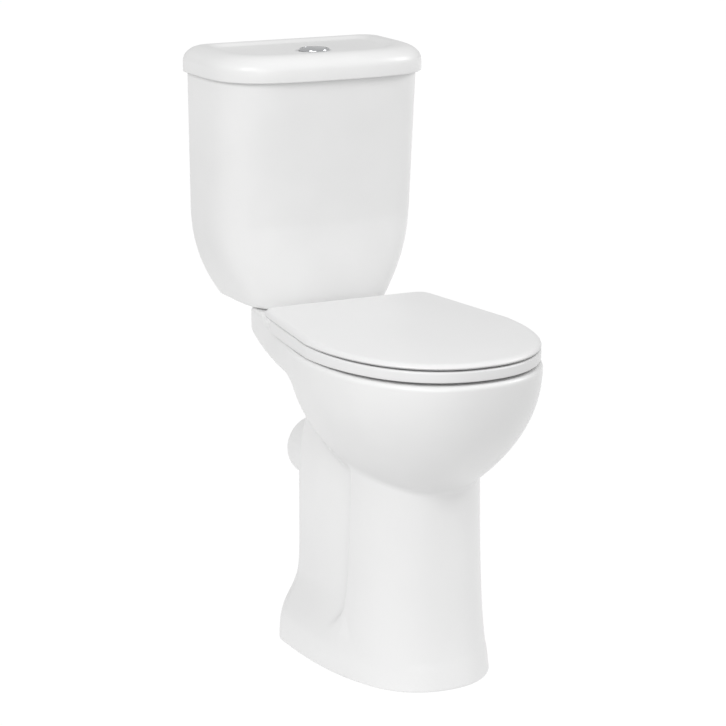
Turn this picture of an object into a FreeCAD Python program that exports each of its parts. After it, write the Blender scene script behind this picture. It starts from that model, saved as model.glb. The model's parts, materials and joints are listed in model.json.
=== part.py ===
import FreeCAD, Part
import os
from math import cos, sin, pi, radians

# Close coupled toilet. Millimetres. +Z is up, the front faces -Y, +X is the right-hand side
# of someone sitting on it looking out. Depths below are distances from the wall plane that
# the cistern lid touches. Every piece is moved back by half the projection at the end, so
# that the origin is the middle of the footprint's box, at floor level.

# ---- overall sizes -------------------------------------------------------------------------
projection = 666.0          # wall to the front of the pan
rim_height = 481.5          # floor to the pan's rim
cistern_height = 365.3      # underside to the rim that the lid sits on

# ---- pan: bowl -----------------------------------------------------------------------------
rim_half_width = 165.8
rim_widest = 433.0          # depth at which the rim is widest
rim_rear = 230.0            # rear of the bowl's own oval
rim_front_power = 2.27
rim_rear_power = 2.3
bowl_drop = 181.5           # rim to the bowl's lowest outside section
bowl_taper = 85.8           # rim's side to the side of the lowest section
bowl_taper_front = 109.5
bowl_taper_rear = 79.0
bowl_curve = 2.2
rim_band = 41.8             # width of the rim at its sides
rim_band_front = 44.0
rim_band_rear = 58.0
opening_shift = 3.0         # the opening is widest this much behind the rim's widest depth
rim_depth = 42.0            # height of the rim's inner face
undercut = 11.0             # how far the bowl widens under the rim
undercut_rear = 6.0
sump_drop = 285.5           # rim to the sump's floor
water_drop = 201.5          # rim to the standing water
bowl_wall = 11.0
# Sections of the basin's hollow: how far each lies below the rim, then how far it is drawn in from
# the opening at its sides, its rear, its widest depth and its front.
basin_sections = [
    (101.5, 6.0, 4.0, 0.0, 14.0),
    (151.5, 38.0, 18.0, 10.0, 74.0),
    (water_drop, 62.0, 34.0, 28.0, 134.0),
    (241.5, 77.0, 44.0, 44.0, 176.0),
    (sump_drop, 87.0, 58.0, 44.0, 196.0),
]

# ---- pan: pedestal -------------------------------------------------------------------------
pan_wall = 11.0
column_half_width = 97.0
column_rear = 422.0
column_set_back = 117.0     # front of the rim to the front of the column
column_floor_half_width = 118.0
column_floor_set_back = 100.0
column_power = 2.4
column_drop = 141.5         # rim to the column's top, inside the bowl
column_edge = 4.0           # rounding of the step where the column meets the spine
spine_half_width = 80.0
spine_rear = 221.0
spine_front = 500.0
spine_corner = 28.0
spine_drop = 20.0           # rim to the spine's top, inside the shelf
neck_half_width = 56.0
foot_half_width = 133.0
foot_flank = 292.0
foot_power = 2.4
foot_edge = 14.0            # height of the foot's upright edge
foot_flare = 112.0          # height at which the foot has drawn in to the spine
foot_flare_power = 2.4
neck_drop = 81.5            # rim to the height at which the spine has drawn in to its neck

# ---- pan: shelf, inlet and outlet ----------------------------------------------------------
shelf_rear = 78.0
shelf_half_width = 110.0
shelf_flank = 330.0
shelf_spread = 38.0         # extra half width where the shelf meets the bowl
shelf_thickness = 55.0
shelf_rear_edge = 28.0      # thickness of the shelf at its rear edge
shelf_corner = 45.0
shelf_rise_start = 5.0      # the underside is level this far in from the rear edge
shelf_front = 480.0         # where the shelf ends inside the bowl
platform_rise = 8.0         # cistern platform above the rim
platform_front = 186.0
platform_edge = 2.0         # bevel along the platform's top
platform_power = 4.0
platform_nose = 30.0        # length of the platform's curved front
inlet_depth = 128.0         # wall to the middle of the flush inlet
inlet_clearance = 3.0       # round the flush valve's tail
recess_clearance = 7.0      # round the flush valve's back nut
inlet_recess = 16.0
duct_half_width = 30.0
duct_height = 20.0
duct_roof = 15.5            # rim level to the duct's roof
outlet_drop = 225.5         # rim to the outlet's axis
outlet_radius = 48.5
outlet_bore = 38.5
outlet_end = 108.0
trap_bend = 24.0            # spine's rear to the outlet's bend, so that the spigot stays round
trap_fall = 74.0            # spine's rear to the weir
trap_rise = 42.0            # sump floor to the start of the waterway
trap_start = 380.0          # depth at which the waterway leaves the sump

# ---- fixings in the pan --------------------------------------------------------------------
floor_hole_inset = 31.0     # foot's side to the hole
floor_hole_depth = 388.0
floor_hole_radius = 4.5
floor_boss_radius = 18.0
floor_boss_height = 56.0
floor_screw_seat = 30.0     # height of the flat under the floor screw's head
floor_screw_head = 9.0      # radius of that flat
coupling_x = 70.0
coupling_seat_drop = 35.5   # rim to the flat that the coupling washers pull up against
hinge_x = 77.5
hinge_depth = 226.0
hinge_seat_drop = 49.5      # rim to the flat that the hinge washers pull up against
bolt_clearance = 1.0        # round every bolt in the ceramic
spot_clearance = 4.0        # round the washers
past = 1.0                  # how far a cut runs past the surface that it opens
corner_shrink = 0.6         # share of a wall that its inner corner radius loses

# ---- cistern -------------------------------------------------------------------------------
platform_gap = 1.9
cistern_back = 2.0
cistern_wall = 9.0
cistern_floor = 12.0
cistern_half_width = 167.8
cistern_taper = 2.8         # top to where the sides begin to curve in
cistern_curve = 52.0        # how far the sides then curve in
cistern_curve_height = 149.0
cistern_curve_power = 2.25
cistern_depth = 196.0
cistern_lean = 30.0         # how far the front leans out above its lowest part
cistern_low = 128.0         # height above the underside where the front stops leaning
cistern_base_swell = 9.0    # how far the front comes forward again at the underside
cistern_flank = 62.0
cistern_power = 3.13
cistern_corner = 18.0
wall_hole_x = 95.0
wall_hole_drop = 65.3       # cistern's rim to the wall fixings
wall_hole_radius = 4.0

# ---- cistern lid and flush button ----------------------------------------------------------
lid_overhang = 7.5
lid_skirt = 13.4            # how far the skirt hangs below the cistern's rim
lid_skirt_wall = 5.5
lid_plate = 25.6            # cistern rim to the top of the lid
lid_round = 18.0
lid_hem = 1.5               # rounding of the skirt's lower edge
dish_inset = 33.0
dish_drop = 4.5
dish_slope = 6.5            # how far the dish's side slopes in
dish_flank = 1.5            # the dish comes this much nearer the lid's sides than its rear
button_depth = 114.0
bezel_rim = 3.0             # bezel's face beyond its collar
bezel_rise = 3.6
bezel_wall = 1.6
bezel_collar_length = 34.0
bezel_floor = 3.0
bezel_round = 1.4
button_radius = 18.5
button_gap = 0.4
button_split = 5.0          # the split between the buttons is off centre by this much
button_height = 9.0
button_proud = 1.2
button_round = 1.2
lid_hole_clearance = 1.0
collar_nut_rim = 8.5        # nut beyond the collar
collar_nut_height = 7.0
push_rod_radius = 2.5
push_rod_inset = 3.5        # key's edge to the push rod's axis
push_rod_gap = 1.8          # push rod to its rocker at rest
push_rod_clearance = 0.8
thread_clearance = 0.1

# ---- seat ----------------------------------------------------------------------------------
seat_overhang = 5.0         # seat beyond the rim at its sides
seat_set_back = 3.0         # front of the rim to the front of the seat
seat_shift = 7.0            # the seat is widest this much behind the rim's widest depth
seat_power = 2.15
seat_gap = 6.0              # rim to the underside of the ring
ring_thickness = 12.2
ring_tail = 14.0            # hinge pins to the ring's rear edge
ring_rear_power = 3.6
ring_cover = 16.0           # how far the ring reaches in over the pan's opening
ring_cover_front = 30.0
ring_cover_rear = 12.0
lid_gap = 4.0               # ring to the seat lid's edge
seat_lid_edge = 6.7
seat_lid_dome = 5.0
seat_lid_shell = 4.0
seat_lid_rim = 6.0          # thickness of the lid's downturned edge
seat_lid_tail = 13.0        # hinge pins to the lid's rear edge
lid_rear_power = 4.2
buffer_gap = 0.3
buffer_radius = 8.0
ring_buffer_insets = (37.8, 53.8)   # rim's side to the rear and the front buffers
lid_buffer_insets = (34.8, 50.8)    # seat's side to the rear and the front buffers
rear_buffer_offset = 104.0  # hinge pins to the rear buffers
front_buffer_offset = 103.0     # seat's front to the front buffers
pin_rise = 16.5             # rim to the hinge pins' axis
pin_radius = 4.0
pin_clearance = 0.05
barrel_wall = 2.5           # round the pins
post_width = 25.0
post_plate = 3.0            # thickness of the post's foot
post_foot = 10.0            # half length of the post's foot
post_front = 7.0            # post's face ahead of the pin
post_back = 4.0
lid_lug_width = 12.0
ring_lug_width = 14.0
lug_gap = 1.0
lug_inset = 1.8             # ring's lugs lie this far inside its faces

# ---- flush valve ---------------------------------------------------------------------------
tail_radius = 24.0
tail_wall = 5.0
tail_length = 23.0
tail_clearance = 1.5
washer_clearance = 0.2
valve_washer = 3.0
valve_flange_rim = 10.0     # flange beyond the tail
valve_flange = 5.0
cage_offset = 5.0           # cage beyond the tail
cage_wall = 2.0
cage_height = 60.0
bridge_height = 222.0
overflow_radius = 11.0
overflow_wall = 2.0
overflow_rise = 254.0       # valve seat to the top of the overflow tube
seal_lap = 7.0              # how far the seal covers the seat round its bore
seal_thickness = 4.0
carrier_thickness = 4.0
tube_clearance = 0.6
bridge_plate = 6.0
bridge_front = 18.0         # plate's edges ahead of and behind the tube
bridge_rear = 24.0
bridge_inset = 1.0          # cage's side to the bridge's side
bridge_post = 5.0
bridge_hoop = 6.0
cage_window = 26.0
cage_band = 8.0             # what is left of the cage above and below its windows
seal_lift = 0.2
rocker_pivot_offset = 10.0  # push rods to the rockers' pins
rocker_pivot_rise = 12.0    # bridge plate to the rockers' pins
rocker_thickness = 4.0
rocker_width = 3.8
rocker_pad = 6.0            # pad ahead of the push rod's middle
rocker_pad_rear = 5.5       # pivot to the pad's rear edge
rocker_hub = 3.0
rocker_ear = 2.5            # thickness and reach of the bridge's ears round the pins
rocker_reach = 10.0         # pivot to the rocker's lifting end
rocker_pin_radius = 1.5
collar_rim = 4.0            # collar beyond the overflow tube
collar_thickness = 4.0
collar_gap = 1.0
back_nut_rim = 7.0          # nut's corners beyond the tail
back_nut_height = 10.0
doughnut_clearance = 0.5

# ---- fill valve ----------------------------------------------------------------------------
fill_x = 78.0
fill_depth = 52.0
inlet_tail_radius = 10.48
inlet_tail_length = 28.0
inlet_shank_radius = 11.5
inlet_shank_length = 14.0   # shank below the cistern, where the back nut sits
fill_flange_rim = 5.5       # flange beyond the shank
fill_flange = 4.0
fill_washer = 3.0
fill_stem_radius = 9.0
fill_stem_height = 262.0
fill_cap_rim = 8.0          # cap beyond the stem
fill_cap_height = 24.0
float_radius = 24.0
float_height = 62.0
float_clearance = 1.0
float_rest = 150.0          # cistern floor to the float's underside when the cistern is empty
link_offset = 50.0          # stem to the float's link rod
link_radius = 1.6
arm_width = 8.0
arm_thickness = 3.0
arm_pin_radius = 1.5
arm_pivot_offset = 20.0     # stem to the float arm's pin
arm_pivot_rise = 12.0       # foot of the cap to the float arm's pin
arm_hub = 2.5
arm_end = 5.0               # arm past the link rod
arm_clearance = 0.6         # between the arm and the cap's ears
arm_ear = 2.5               # thickness of the ears
arm_ear_reach = 4.0
fill_wall = 1.5
fill_crown = 8.0            # closed length at the top of the stem
float_stop = 3.5            # thickness of the stop ring under the float
float_stop_reach = 5.0
float_stop_gap = 0.5
float_skin = 2.5
float_tab = 6.0             # thickness of the tab that holds the link rod
float_tab_half_width = 4.0
link_collar_radius = 3.5
link_collar_gap = 2.6
link_collar = 2.0           # thickness of each collar
link_slot_clearance = 0.7

# ---- fasteners -----------------------------------------------------------------------------
bolt_radius = 4.0
bolt_head_radius = 9.0
bolt_head = 4.0
bolt_tail = 26.0            # length that shows below the shelf
coupling_washer = 3.0
wing_hub_radius = 8.0
wing_hub = 9.0
wing_span = 15.0
wing_half_thickness = 1.5
wing_inset = 1.0            # wings stand this far inside the hub's faces
washer_radius = 13.0

# ---- radii, plan sizes and heights worked out from the sizes above -------------------------
opening_half_width = rim_half_width - rim_band
opening_front = projection - rim_band_front
opening_rear = rim_rear + rim_band_rear
opening_widest = rim_widest - opening_shift
column_front = projection - column_set_back
column_floor_front = projection - column_floor_set_back
seat_half_width = rim_half_width + seat_overhang
seat_front = projection - seat_set_back
seat_widest = rim_widest - seat_shift
ring_rear = hinge_depth + ring_tail
ring_opening_half_width = opening_half_width - ring_cover
ring_opening_front = opening_front - ring_cover_front
ring_opening_rear = opening_rear + ring_cover_rear
seat_lid_rear = hinge_depth - seat_lid_tail
floor_hole_x = foot_half_width - floor_hole_inset
coupling_depth = inlet_depth
coupling_hole_radius = bolt_radius + bolt_clearance
hinge_hole_radius = bolt_radius + bolt_clearance
spot_radius = washer_radius + spot_clearance
barrel_radius = pin_radius + barrel_wall
tail_bore = tail_radius - tail_wall
valve_flange_radius = tail_radius + valve_flange_rim
cage_radius = tail_radius + cage_offset
bridge_half_width = cage_radius - bridge_inset
seal_radius = tail_bore + seal_lap
back_nut_radius = tail_radius + back_nut_rim
inlet_radius = tail_radius + inlet_clearance
inlet_recess_radius = back_nut_radius + recess_clearance
overflow_bore = overflow_radius - overflow_wall
collar_radius = overflow_radius + collar_rim
rocker_pivot_depth = button_depth + rocker_pivot_offset
bezel_collar_radius = button_radius + button_gap + bezel_wall
bezel_radius = bezel_collar_radius + bezel_rim
collar_nut_radius = bezel_collar_radius + collar_nut_rim
push_rod_x = button_radius - push_rod_inset
fill_cap_radius = fill_stem_radius + fill_cap_rim
fill_flange_radius = inlet_shank_radius + fill_flange_rim
fill_bore = fill_stem_radius - fill_wall
cistern_waist = cistern_half_width - cistern_taper
cistern_low_depth = cistern_depth - cistern_lean
water_level = rim_height - water_drop
sump_floor = rim_height - sump_drop
outlet_height = rim_height - outlet_drop
neck_height = rim_height - neck_drop
column_top = rim_height - column_drop
spine_top = rim_height - spine_drop
coupling_seat = rim_height - coupling_seat_drop
hinge_seat = rim_height - hinge_seat_drop
wall_hole_height = cistern_height - wall_hole_drop
platform_height = rim_height + platform_rise
cistern_bottom = platform_height + platform_gap
cistern_inside = cistern_bottom + cistern_floor
cistern_top = cistern_bottom + cistern_height
lid_top = cistern_top + lid_plate
dish_level = lid_top - dish_drop
ring_bottom = rim_height + seat_gap
ring_top = ring_bottom + ring_thickness
seat_lid_bottom = ring_top + lid_gap
pin_height = rim_height + pin_rise
seat_lid_under = seat_lid_bottom + seat_lid_edge - seat_lid_shell
valve_seat = cistern_inside + valve_washer + valve_flange
bridge_top = valve_seat + bridge_height
rocker_pin_height = bridge_top + rocker_pivot_rise
fill_base = cistern_inside + fill_washer
fill_top = fill_base + fill_stem_height
float_low = fill_base + float_rest
arm_pin_height = fill_top + arm_pivot_rise
recess_floor = platform_height - inlet_recess
duct_top = rim_height - duct_roof


# ---- outlines and simple solids ------------------------------------------------------------
def at(x, depth, z):
    """A point at a distance from the wall."""
    return FreeCAD.Vector(x, -depth, z)


def power_quarter(half_width, start, end, power, steps=12):
    """One quarter of a superellipse from its widest point to its end, as (x, depth) pairs."""
    points = []
    for step in range(steps + 1):
        angle = 0.5 * pi * step / steps
        across = half_width * cos(angle) ** (2 / power)
        along = start + (end - start) * sin(angle) ** (2 / power)
        points.append((across, along))
    return points


def closed_spline(side, z):
    """A smooth closed wire through one side's points, front to rear, and their mirror image."""
    points = [at(x, depth, z) for x, depth in side]
    points += [at(-x, depth, z) for x, depth in reversed(side[1:-1])]
    curve = Part.BSplineCurve()
    curve.interpolate(Points=points, PeriodicFlag=True)
    return Part.Wire([curve.toShape()])


def oval(half_width, rear, widest, front, z, rear_power=rim_rear_power, front_power=rim_front_power):
    """An egg-shaped outline, widest at one depth, with a superellipse quarter to each end."""
    ahead = power_quarter(half_width, widest, front, front_power)
    behind = power_quarter(half_width, widest, rear, rear_power)
    side = [(0.0, front)] + ahead[-2::-1] + behind[1:-1] + [(0.0, rear)]
    return closed_spline(side, z)


def bow(half_width, back, flank, front, power, corner, z, spread=0.0):
    """A D: flat back, rounded corners, straight flanks that may spread, and a curved front."""
    wide = half_width + spread
    slope = spread / (flank - back)
    corner_half = half_width + slope * corner
    bend = corner * (1 - cos(pi / 4))
    ahead = power_quarter(wide, flank, front, power)
    nose = [at(x, depth, z) for x, depth in ahead]
    nose += [at(-x, depth, z) for x, depth in reversed(ahead[:-1])]
    curve = Part.BSplineCurve()
    curve.interpolate(Points=nose)
    right_flank = Part.LineSegment(at(corner_half, back + corner, z), at(wide, flank, z))
    left_flank = Part.LineSegment(at(-wide, flank, z), at(-corner_half, back + corner, z))
    left_corner = Part.Arc(at(-corner_half, back + corner, z), at(-corner_half + bend, back + bend, z),
                           at(-corner_half + corner, back, z))
    right_corner = Part.Arc(at(corner_half - corner, back, z), at(corner_half - bend, back + bend, z),
                            at(corner_half, back + corner, z))
    rear = Part.LineSegment(at(-corner_half + corner, back, z), at(corner_half - corner, back, z))
    edges = [right_flank, curve, left_flank, left_corner, rear, right_corner]
    return Part.Wire([edge.toShape() for edge in edges])


def loft(wires):
    """A smooth solid through a stack of evenly spaced wires."""
    return Part.makeLoft(wires, True, False)


def stack_up(wires):
    """A solid of straight bands from each wire to the next, for edges rounded in small steps."""
    return Part.makeLoft(wires, True, True)


def rod(radius, x, depth, low, high):
    """An upright cylinder between two heights."""
    return Part.makeCylinder(radius, high - low, at(x, depth, low))


def cross_rod(radius, x_low, x_high, depth, z):
    """A cylinder along X between two positions."""
    return Part.makeCylinder(radius, x_high - x_low, at(x_low, depth, z), FreeCAD.Vector(1, 0, 0))


def ring(outer, inner, x, depth, low, high):
    """An upright ring between two heights."""
    return rod(outer, x, depth, low, high).cut(rod(inner, x, depth, low - 1, high + 1))


def block(x_low, x_high, depth_front, depth_rear, low, high):
    """A box between two positions, two distances from the wall and two heights."""
    corner = at(x_low, depth_front, low)
    return Part.makeBox(x_high - x_low, depth_front - depth_rear, high - low, corner)


def hexagon(radius, x, depth, low, high):
    """An upright hexagonal prism whose corners lie on a radius."""
    corners = [at(x + radius * cos(k * pi / 3), depth + radius * sin(k * pi / 3), low) for k in range(7)]
    return Part.Face(Part.makePolygon(corners)).extrude(FreeCAD.Vector(0, 0, high - low))


def bent_pipe(corners, radius):
    """A round solid along straight runs, with a ball at each corner."""
    runs = []
    for start, end in zip(corners, corners[1:]):
        runs.append(Part.makeCylinder(radius, (end - start).Length, start, end - start))
    balls = [Part.makeSphere(radius, corner) for corner in corners[1:-1]]
    return runs[0].fuse(runs[1:] + balls).removeSplitter()


def profile_slab(points, half_width):
    """A solid as wide as twice the half width, whose outline in the side view is given."""
    corners = [at(-half_width, depth, z) for depth, z in points]
    outline = Part.makePolygon(corners + corners[:1])
    return Part.Face(outline).extrude(FreeCAD.Vector(2 * half_width, 0, 0))


# ---- pan -----------------------------------------------------------------------------------
def bowl_outside():
    """The oval basin: each section grows from the foot of the bowl by a power of the height."""
    wires = []
    for share in (0.0, 0.08, 0.18, 0.3, 0.44, 0.6, 0.78, 1.0):
        grown = 1 - (1 - share) ** bowl_curve
        half_width = rim_half_width - bowl_taper * (1 - grown)
        front = projection - bowl_taper_front * (1 - grown)
        rear = rim_rear + bowl_taper_rear * (1 - grown)
        z = rim_height - bowl_drop * (1 - share)
        wires.append(oval(half_width, rear, rim_widest, front, z))
    return loft(wires)


def bowl_inside(grow):
    """The basin's hollow from the rim to the sump, grown by a wall's thickness."""
    under_rim = rim_height - rim_depth
    top = rim_height + (past if grow == 0 else -3 * past)
    stack = [
        (top, opening_half_width, opening_rear, opening_widest, opening_front),
        (under_rim, opening_half_width, opening_rear, opening_widest, opening_front),
        (under_rim - 1.6 * undercut, opening_half_width + undercut, opening_rear - undercut_rear,
         opening_widest, opening_front + undercut),
    ]
    for drop, side, behind, shift, ahead in basin_sections:
        stack.append((rim_height - drop, opening_half_width - side, opening_rear + behind,
                      opening_widest - shift, opening_front - ahead))
    wires = [oval(w + grow, rear - grow, mid, front + grow, z) for z, w, rear, mid, front in stack]
    body = loft(wires)
    if grow > 0:
        body = body.fuse(oval_plate(stack[-1], grow))
    return body


def oval_plate(section, grow):
    """The sump's floor: one oval section carried down by a wall's thickness."""
    z, half_width, rear, mid, front = section
    wire = oval(half_width + grow, rear - grow, mid, front + grow, z)
    return Part.Face(wire).extrude(FreeCAD.Vector(0, 0, -grow))


def column(inset):
    """The front of the pedestal, a little wider at the floor."""
    top = column_top - inset
    wires = []
    for z, share in ((0.0, 1.0), (foot_flare * 0.5, 0.55), (foot_flare, 0.3), (top, 0.0)):
        half_width = column_half_width + (column_floor_half_width - column_half_width) * share - inset
        front = column_front + (column_floor_front - column_front) * share - inset
        rear = column_rear + inset
        wires.append(bow(half_width, rear, rear + 2 * column_edge, front, column_power, column_edge, z))
    return loft(wires)


def spine(inset):
    """The narrower rear of the pedestal, flaring out to the foot's flange near the floor."""
    flare = foot_half_width - spine_half_width
    neck = spine_half_width - neck_half_width
    run = foot_flare - foot_edge
    stack = [(0.0, flare), (0.5 * foot_edge, flare), (foot_edge, flare)]
    for share in (0.15, 0.3, 0.45, 0.6, 0.8, 1.0):
        stack.append((foot_edge + run * share, flare * (1 - share) ** foot_flare_power))
    for z in (0.5 * (foot_flare + outlet_height), outlet_height):
        stack.append((z, 0.0))
    for share in (0.2, 0.45, 0.75, 1.0):
        stack.append((outlet_height + (neck_height - outlet_height) * share, -neck * share ** 2))
    stack.append((0.5 * (neck_height + spine_top), -neck))
    stack.append((spine_top, -neck))
    wires = []
    for z, extra in stack:
        front = spine_front + (column_floor_front - spine_front) * max(extra, 0.0) / flare - inset
        wires.append(bow(spine_half_width + extra - inset, spine_rear + inset, foot_flank, front,
                         foot_power, spine_corner - corner_shrink * inset, z))
    return loft(wires)


def shelf():
    """The deck behind the bowl that carries the hinges, its underside rising to the rear."""
    low = rim_height - 2 * shelf_thickness
    plan = Part.Face(bow(shelf_half_width, shelf_rear, shelf_flank, shelf_front, foot_power,
                         shelf_corner, low, shelf_spread))
    prism = plan.extrude(FreeCAD.Vector(0, 0, rim_height - low))
    behind = shelf_rear - past
    above = rim_height + past
    side = [(behind, above), (behind, rim_height - shelf_rear_edge)]
    for step in range(9):
        share = step / 8
        depth = shelf_rear + shelf_rise_start + (shelf_flank - shelf_rear) * share
        drop = shelf_rear_edge + (shelf_thickness - shelf_rear_edge) * (1 - (1 - share) ** 3)
        side.append((depth, rim_height - drop))
    side.append((spine_front, rim_height - shelf_thickness))
    side.append((spine_front, above))
    return prism.common(profile_slab(side, 2 * shelf_half_width))


def platform():
    """The raised pad that the cistern stands over."""
    wires = []
    for z, inset in ((rim_height - past, 0.0), (platform_height - platform_edge, platform_edge),
                     (platform_height, 2 * platform_edge)):
        wires.append(bow(shelf_half_width - inset, shelf_rear + inset, platform_front - platform_nose,
                         platform_front - inset, platform_power, shelf_corner - inset, z))
    return loft(wires)


def trap(radius):
    """The waterway from the sump over the weir to the outlet."""
    crest = water_level + outlet_bore
    corners = [
        at(0, outlet_end, outlet_height),
        at(0, spine_rear + trap_bend, outlet_height),
        at(0, spine_rear + trap_fall, crest),
        at(0, trap_start, sump_floor + trap_rise),
    ]
    return bent_pipe(corners, radius)


def build_pan():
    body = bowl_outside().fuse([column(0), spine(0), shelf(), platform()])
    hollow = column(pan_wall).fuse(spine(pan_wall))
    roof = rim_height - shelf_thickness - pan_wall
    hollow = hollow.common(block(-rim_half_width, rim_half_width, projection, 0, -past, roof))
    hollow = hollow.cut([bowl_inside(bowl_wall), trap(outlet_radius)])
    body = body.cut(hollow)
    foot = spine(0)
    bosses = []
    for x in (-floor_hole_x, floor_hole_x):
        bosses.append(foot.common(rod(floor_boss_radius, x, floor_hole_depth, 0, floor_boss_height)))
    body = body.fuse(bosses + [trap(outlet_radius), bowl_inside(bowl_wall)])
    cuts = [bowl_inside(0), trap(outlet_bore)]
    cuts.append(rod(inlet_recess_radius, 0, inlet_depth, recess_floor, platform_height + past))
    cuts.append(rod(inlet_radius, 0, inlet_depth, duct_top - past, platform_height))
    cuts.append(block(-duct_half_width, duct_half_width, opening_rear + bowl_wall,
                      inlet_depth - duct_half_width, duct_top - duct_height, duct_top))
    under = neck_height
    for side in (-1, 1):
        x = side * coupling_x
        cuts.append(rod(coupling_hole_radius, x, coupling_depth, under, platform_height + past))
        cuts.append(rod(spot_radius, x, coupling_depth, under, coupling_seat))
        x = side * hinge_x
        cuts.append(rod(hinge_hole_radius, x, hinge_depth, under - spot_radius, rim_height + past))
        cuts.append(rod(spot_radius, x, hinge_depth, under - spot_radius, hinge_seat))
        x = side * floor_hole_x
        cuts.append(rod(floor_hole_radius, x, floor_hole_depth, -past, foot_flare))
        cuts.append(rod(floor_screw_head, x, floor_hole_depth, floor_screw_seat, foot_flare))
    return body.cut(cuts)


# ---- cistern -------------------------------------------------------------------------------
def cistern_outline(height, inset):
    """The D at a height above the underside: sides curve in below, the front leans back."""
    if height < cistern_curve_height:
        share = 1 - height / cistern_curve_height
        half_width = cistern_waist - cistern_curve * share ** cistern_curve_power
    else:
        share = (height - cistern_curve_height) / (cistern_height - cistern_curve_height)
        half_width = cistern_waist + (cistern_half_width - cistern_waist) * share
    if height < cistern_low:
        share = 1 - height / cistern_low
        front = cistern_low_depth + cistern_base_swell * share ** 2
    else:
        share = (height - cistern_low) / (cistern_height - cistern_low)
        front = cistern_low_depth + (cistern_depth - cistern_low_depth) * share
    return bow(half_width - inset, cistern_back + inset, cistern_flank, front - inset, cistern_power,
               cistern_corner - corner_shrink * inset, cistern_bottom + height)


def build_cistern():
    steps = 12
    outside = loft([cistern_outline(cistern_height * k / steps, 0) for k in range(steps + 1)])
    room = cistern_height - cistern_floor
    levels = [cistern_floor + room * k / steps for k in range(steps + 1)]
    inside = loft([cistern_outline(level, cistern_wall) for level in levels])
    mouth = Part.Face(cistern_outline(cistern_height, cistern_wall)).extrude(FreeCAD.Vector(0, 0, past))
    cuts = [inside, mouth]
    low = cistern_bottom - past
    high = cistern_inside + past
    cuts.append(rod(tail_radius + tail_clearance, 0, inlet_depth, low, high))
    cuts.append(rod(inlet_shank_radius + tail_clearance, fill_x, fill_depth, low, high))
    for side in (-1, 1):
        cuts.append(rod(coupling_hole_radius, side * coupling_x, coupling_depth, low, high))
        start = at(side * wall_hole_x, 2 * cistern_wall, cistern_bottom + wall_hole_height)
        cuts.append(Part.makeCylinder(wall_hole_radius, 3 * cistern_wall, start, FreeCAD.Vector(0, 1, 0)))
    return outside.cut(cuts)


# ---- cistern lid ---------------------------------------------------------------------------
def lid_outline(z, inset, back=None):
    """The lid's D: the cistern's top outline grown by the overhang."""
    rear = 0.5 * inset if back is None else back
    return bow(cistern_half_width + lid_overhang - inset, rear, cistern_flank,
               cistern_depth + lid_overhang - inset, cistern_power, cistern_corner + 2, z)


def build_cistern_lid():
    bottom = cistern_top - lid_skirt
    stack = [(bottom, 0.8 * lid_hem), (bottom + lid_hem, 0.0)]
    for degrees in (0, 20, 40, 60, 78, 90):
        angle = radians(degrees)
        stack.append((lid_top - lid_round + lid_round * sin(angle), lid_round * (1 - cos(angle))))
    body = stack_up([lid_outline(z, inset) for z, inset in stack])
    behind = -5 * past
    pocket = Part.Face(lid_outline(bottom - past, lid_skirt_wall, behind))
    pocket = pocket.extrude(FreeCAD.Vector(0, 0, lid_skirt + past))
    dish = loft([lid_outline(lid_top + past, dish_inset - dish_flank, dish_inset - 0.9 * dish_slope),
                 lid_outline(dish_level, dish_inset + dish_slope - dish_flank, dish_inset)])
    hole = rod(bezel_collar_radius + lid_hole_clearance, 0, button_depth, cistern_top - past, lid_top + past)
    return body.cut([pocket, dish, hole])


# ---- flush buttons -------------------------------------------------------------------------
def top_edges(shape, top):
    """The edges that lie in a shape's top face."""
    return [edge for edge in shape.Edges if edge.BoundBox.ZMin > top - thread_clearance]


def build_bezel():
    top = dish_level + bezel_rise
    foot = dish_level - bezel_collar_length
    body = rod(bezel_radius, 0, button_depth, dish_level, top)
    body = Part.Solid(body.makeFillet(bezel_round, top_edges(body, top)))
    body = body.fuse(rod(bezel_collar_radius, 0, button_depth, foot, dish_level + 0.5 * past))
    cuts = [rod(button_radius + button_gap, 0, button_depth, foot + bezel_floor, top + past)]
    for x in (-push_rod_x, push_rod_x):
        cuts.append(rod(push_rod_radius + push_rod_clearance, x, button_depth, foot - past,
                        foot + bezel_floor + past))
    return body.cut(cuts)


def button(side):
    """One of the two keys: the disc's larger part for a full flush, the smaller for a half."""
    top = dish_level + bezel_rise + button_proud
    disc = rod(button_radius, 0, button_depth, top - button_height, top)
    disc = disc.makeFillet(button_round, top_edges(disc, top))
    outer = 2 * button_radius
    front = button_depth + outer
    rear = button_depth - outer
    if side > 0:
        keep = block(-button_split + button_gap, outer, front, rear, top - outer, top + past)
    else:
        keep = block(-outer, -button_split - button_gap, front, rear, top - outer, top + past)
    return disc.common(keep)


def push_rod(side):
    """A rod from a key's underside to just above its rocker."""
    top = dish_level + bezel_rise + button_proud - button_height
    foot = bridge_top + rocker_pivot_rise + rocker_thickness / 2 + push_rod_gap
    return rod(push_rod_radius, side * push_rod_x, button_depth, foot, top)


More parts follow.
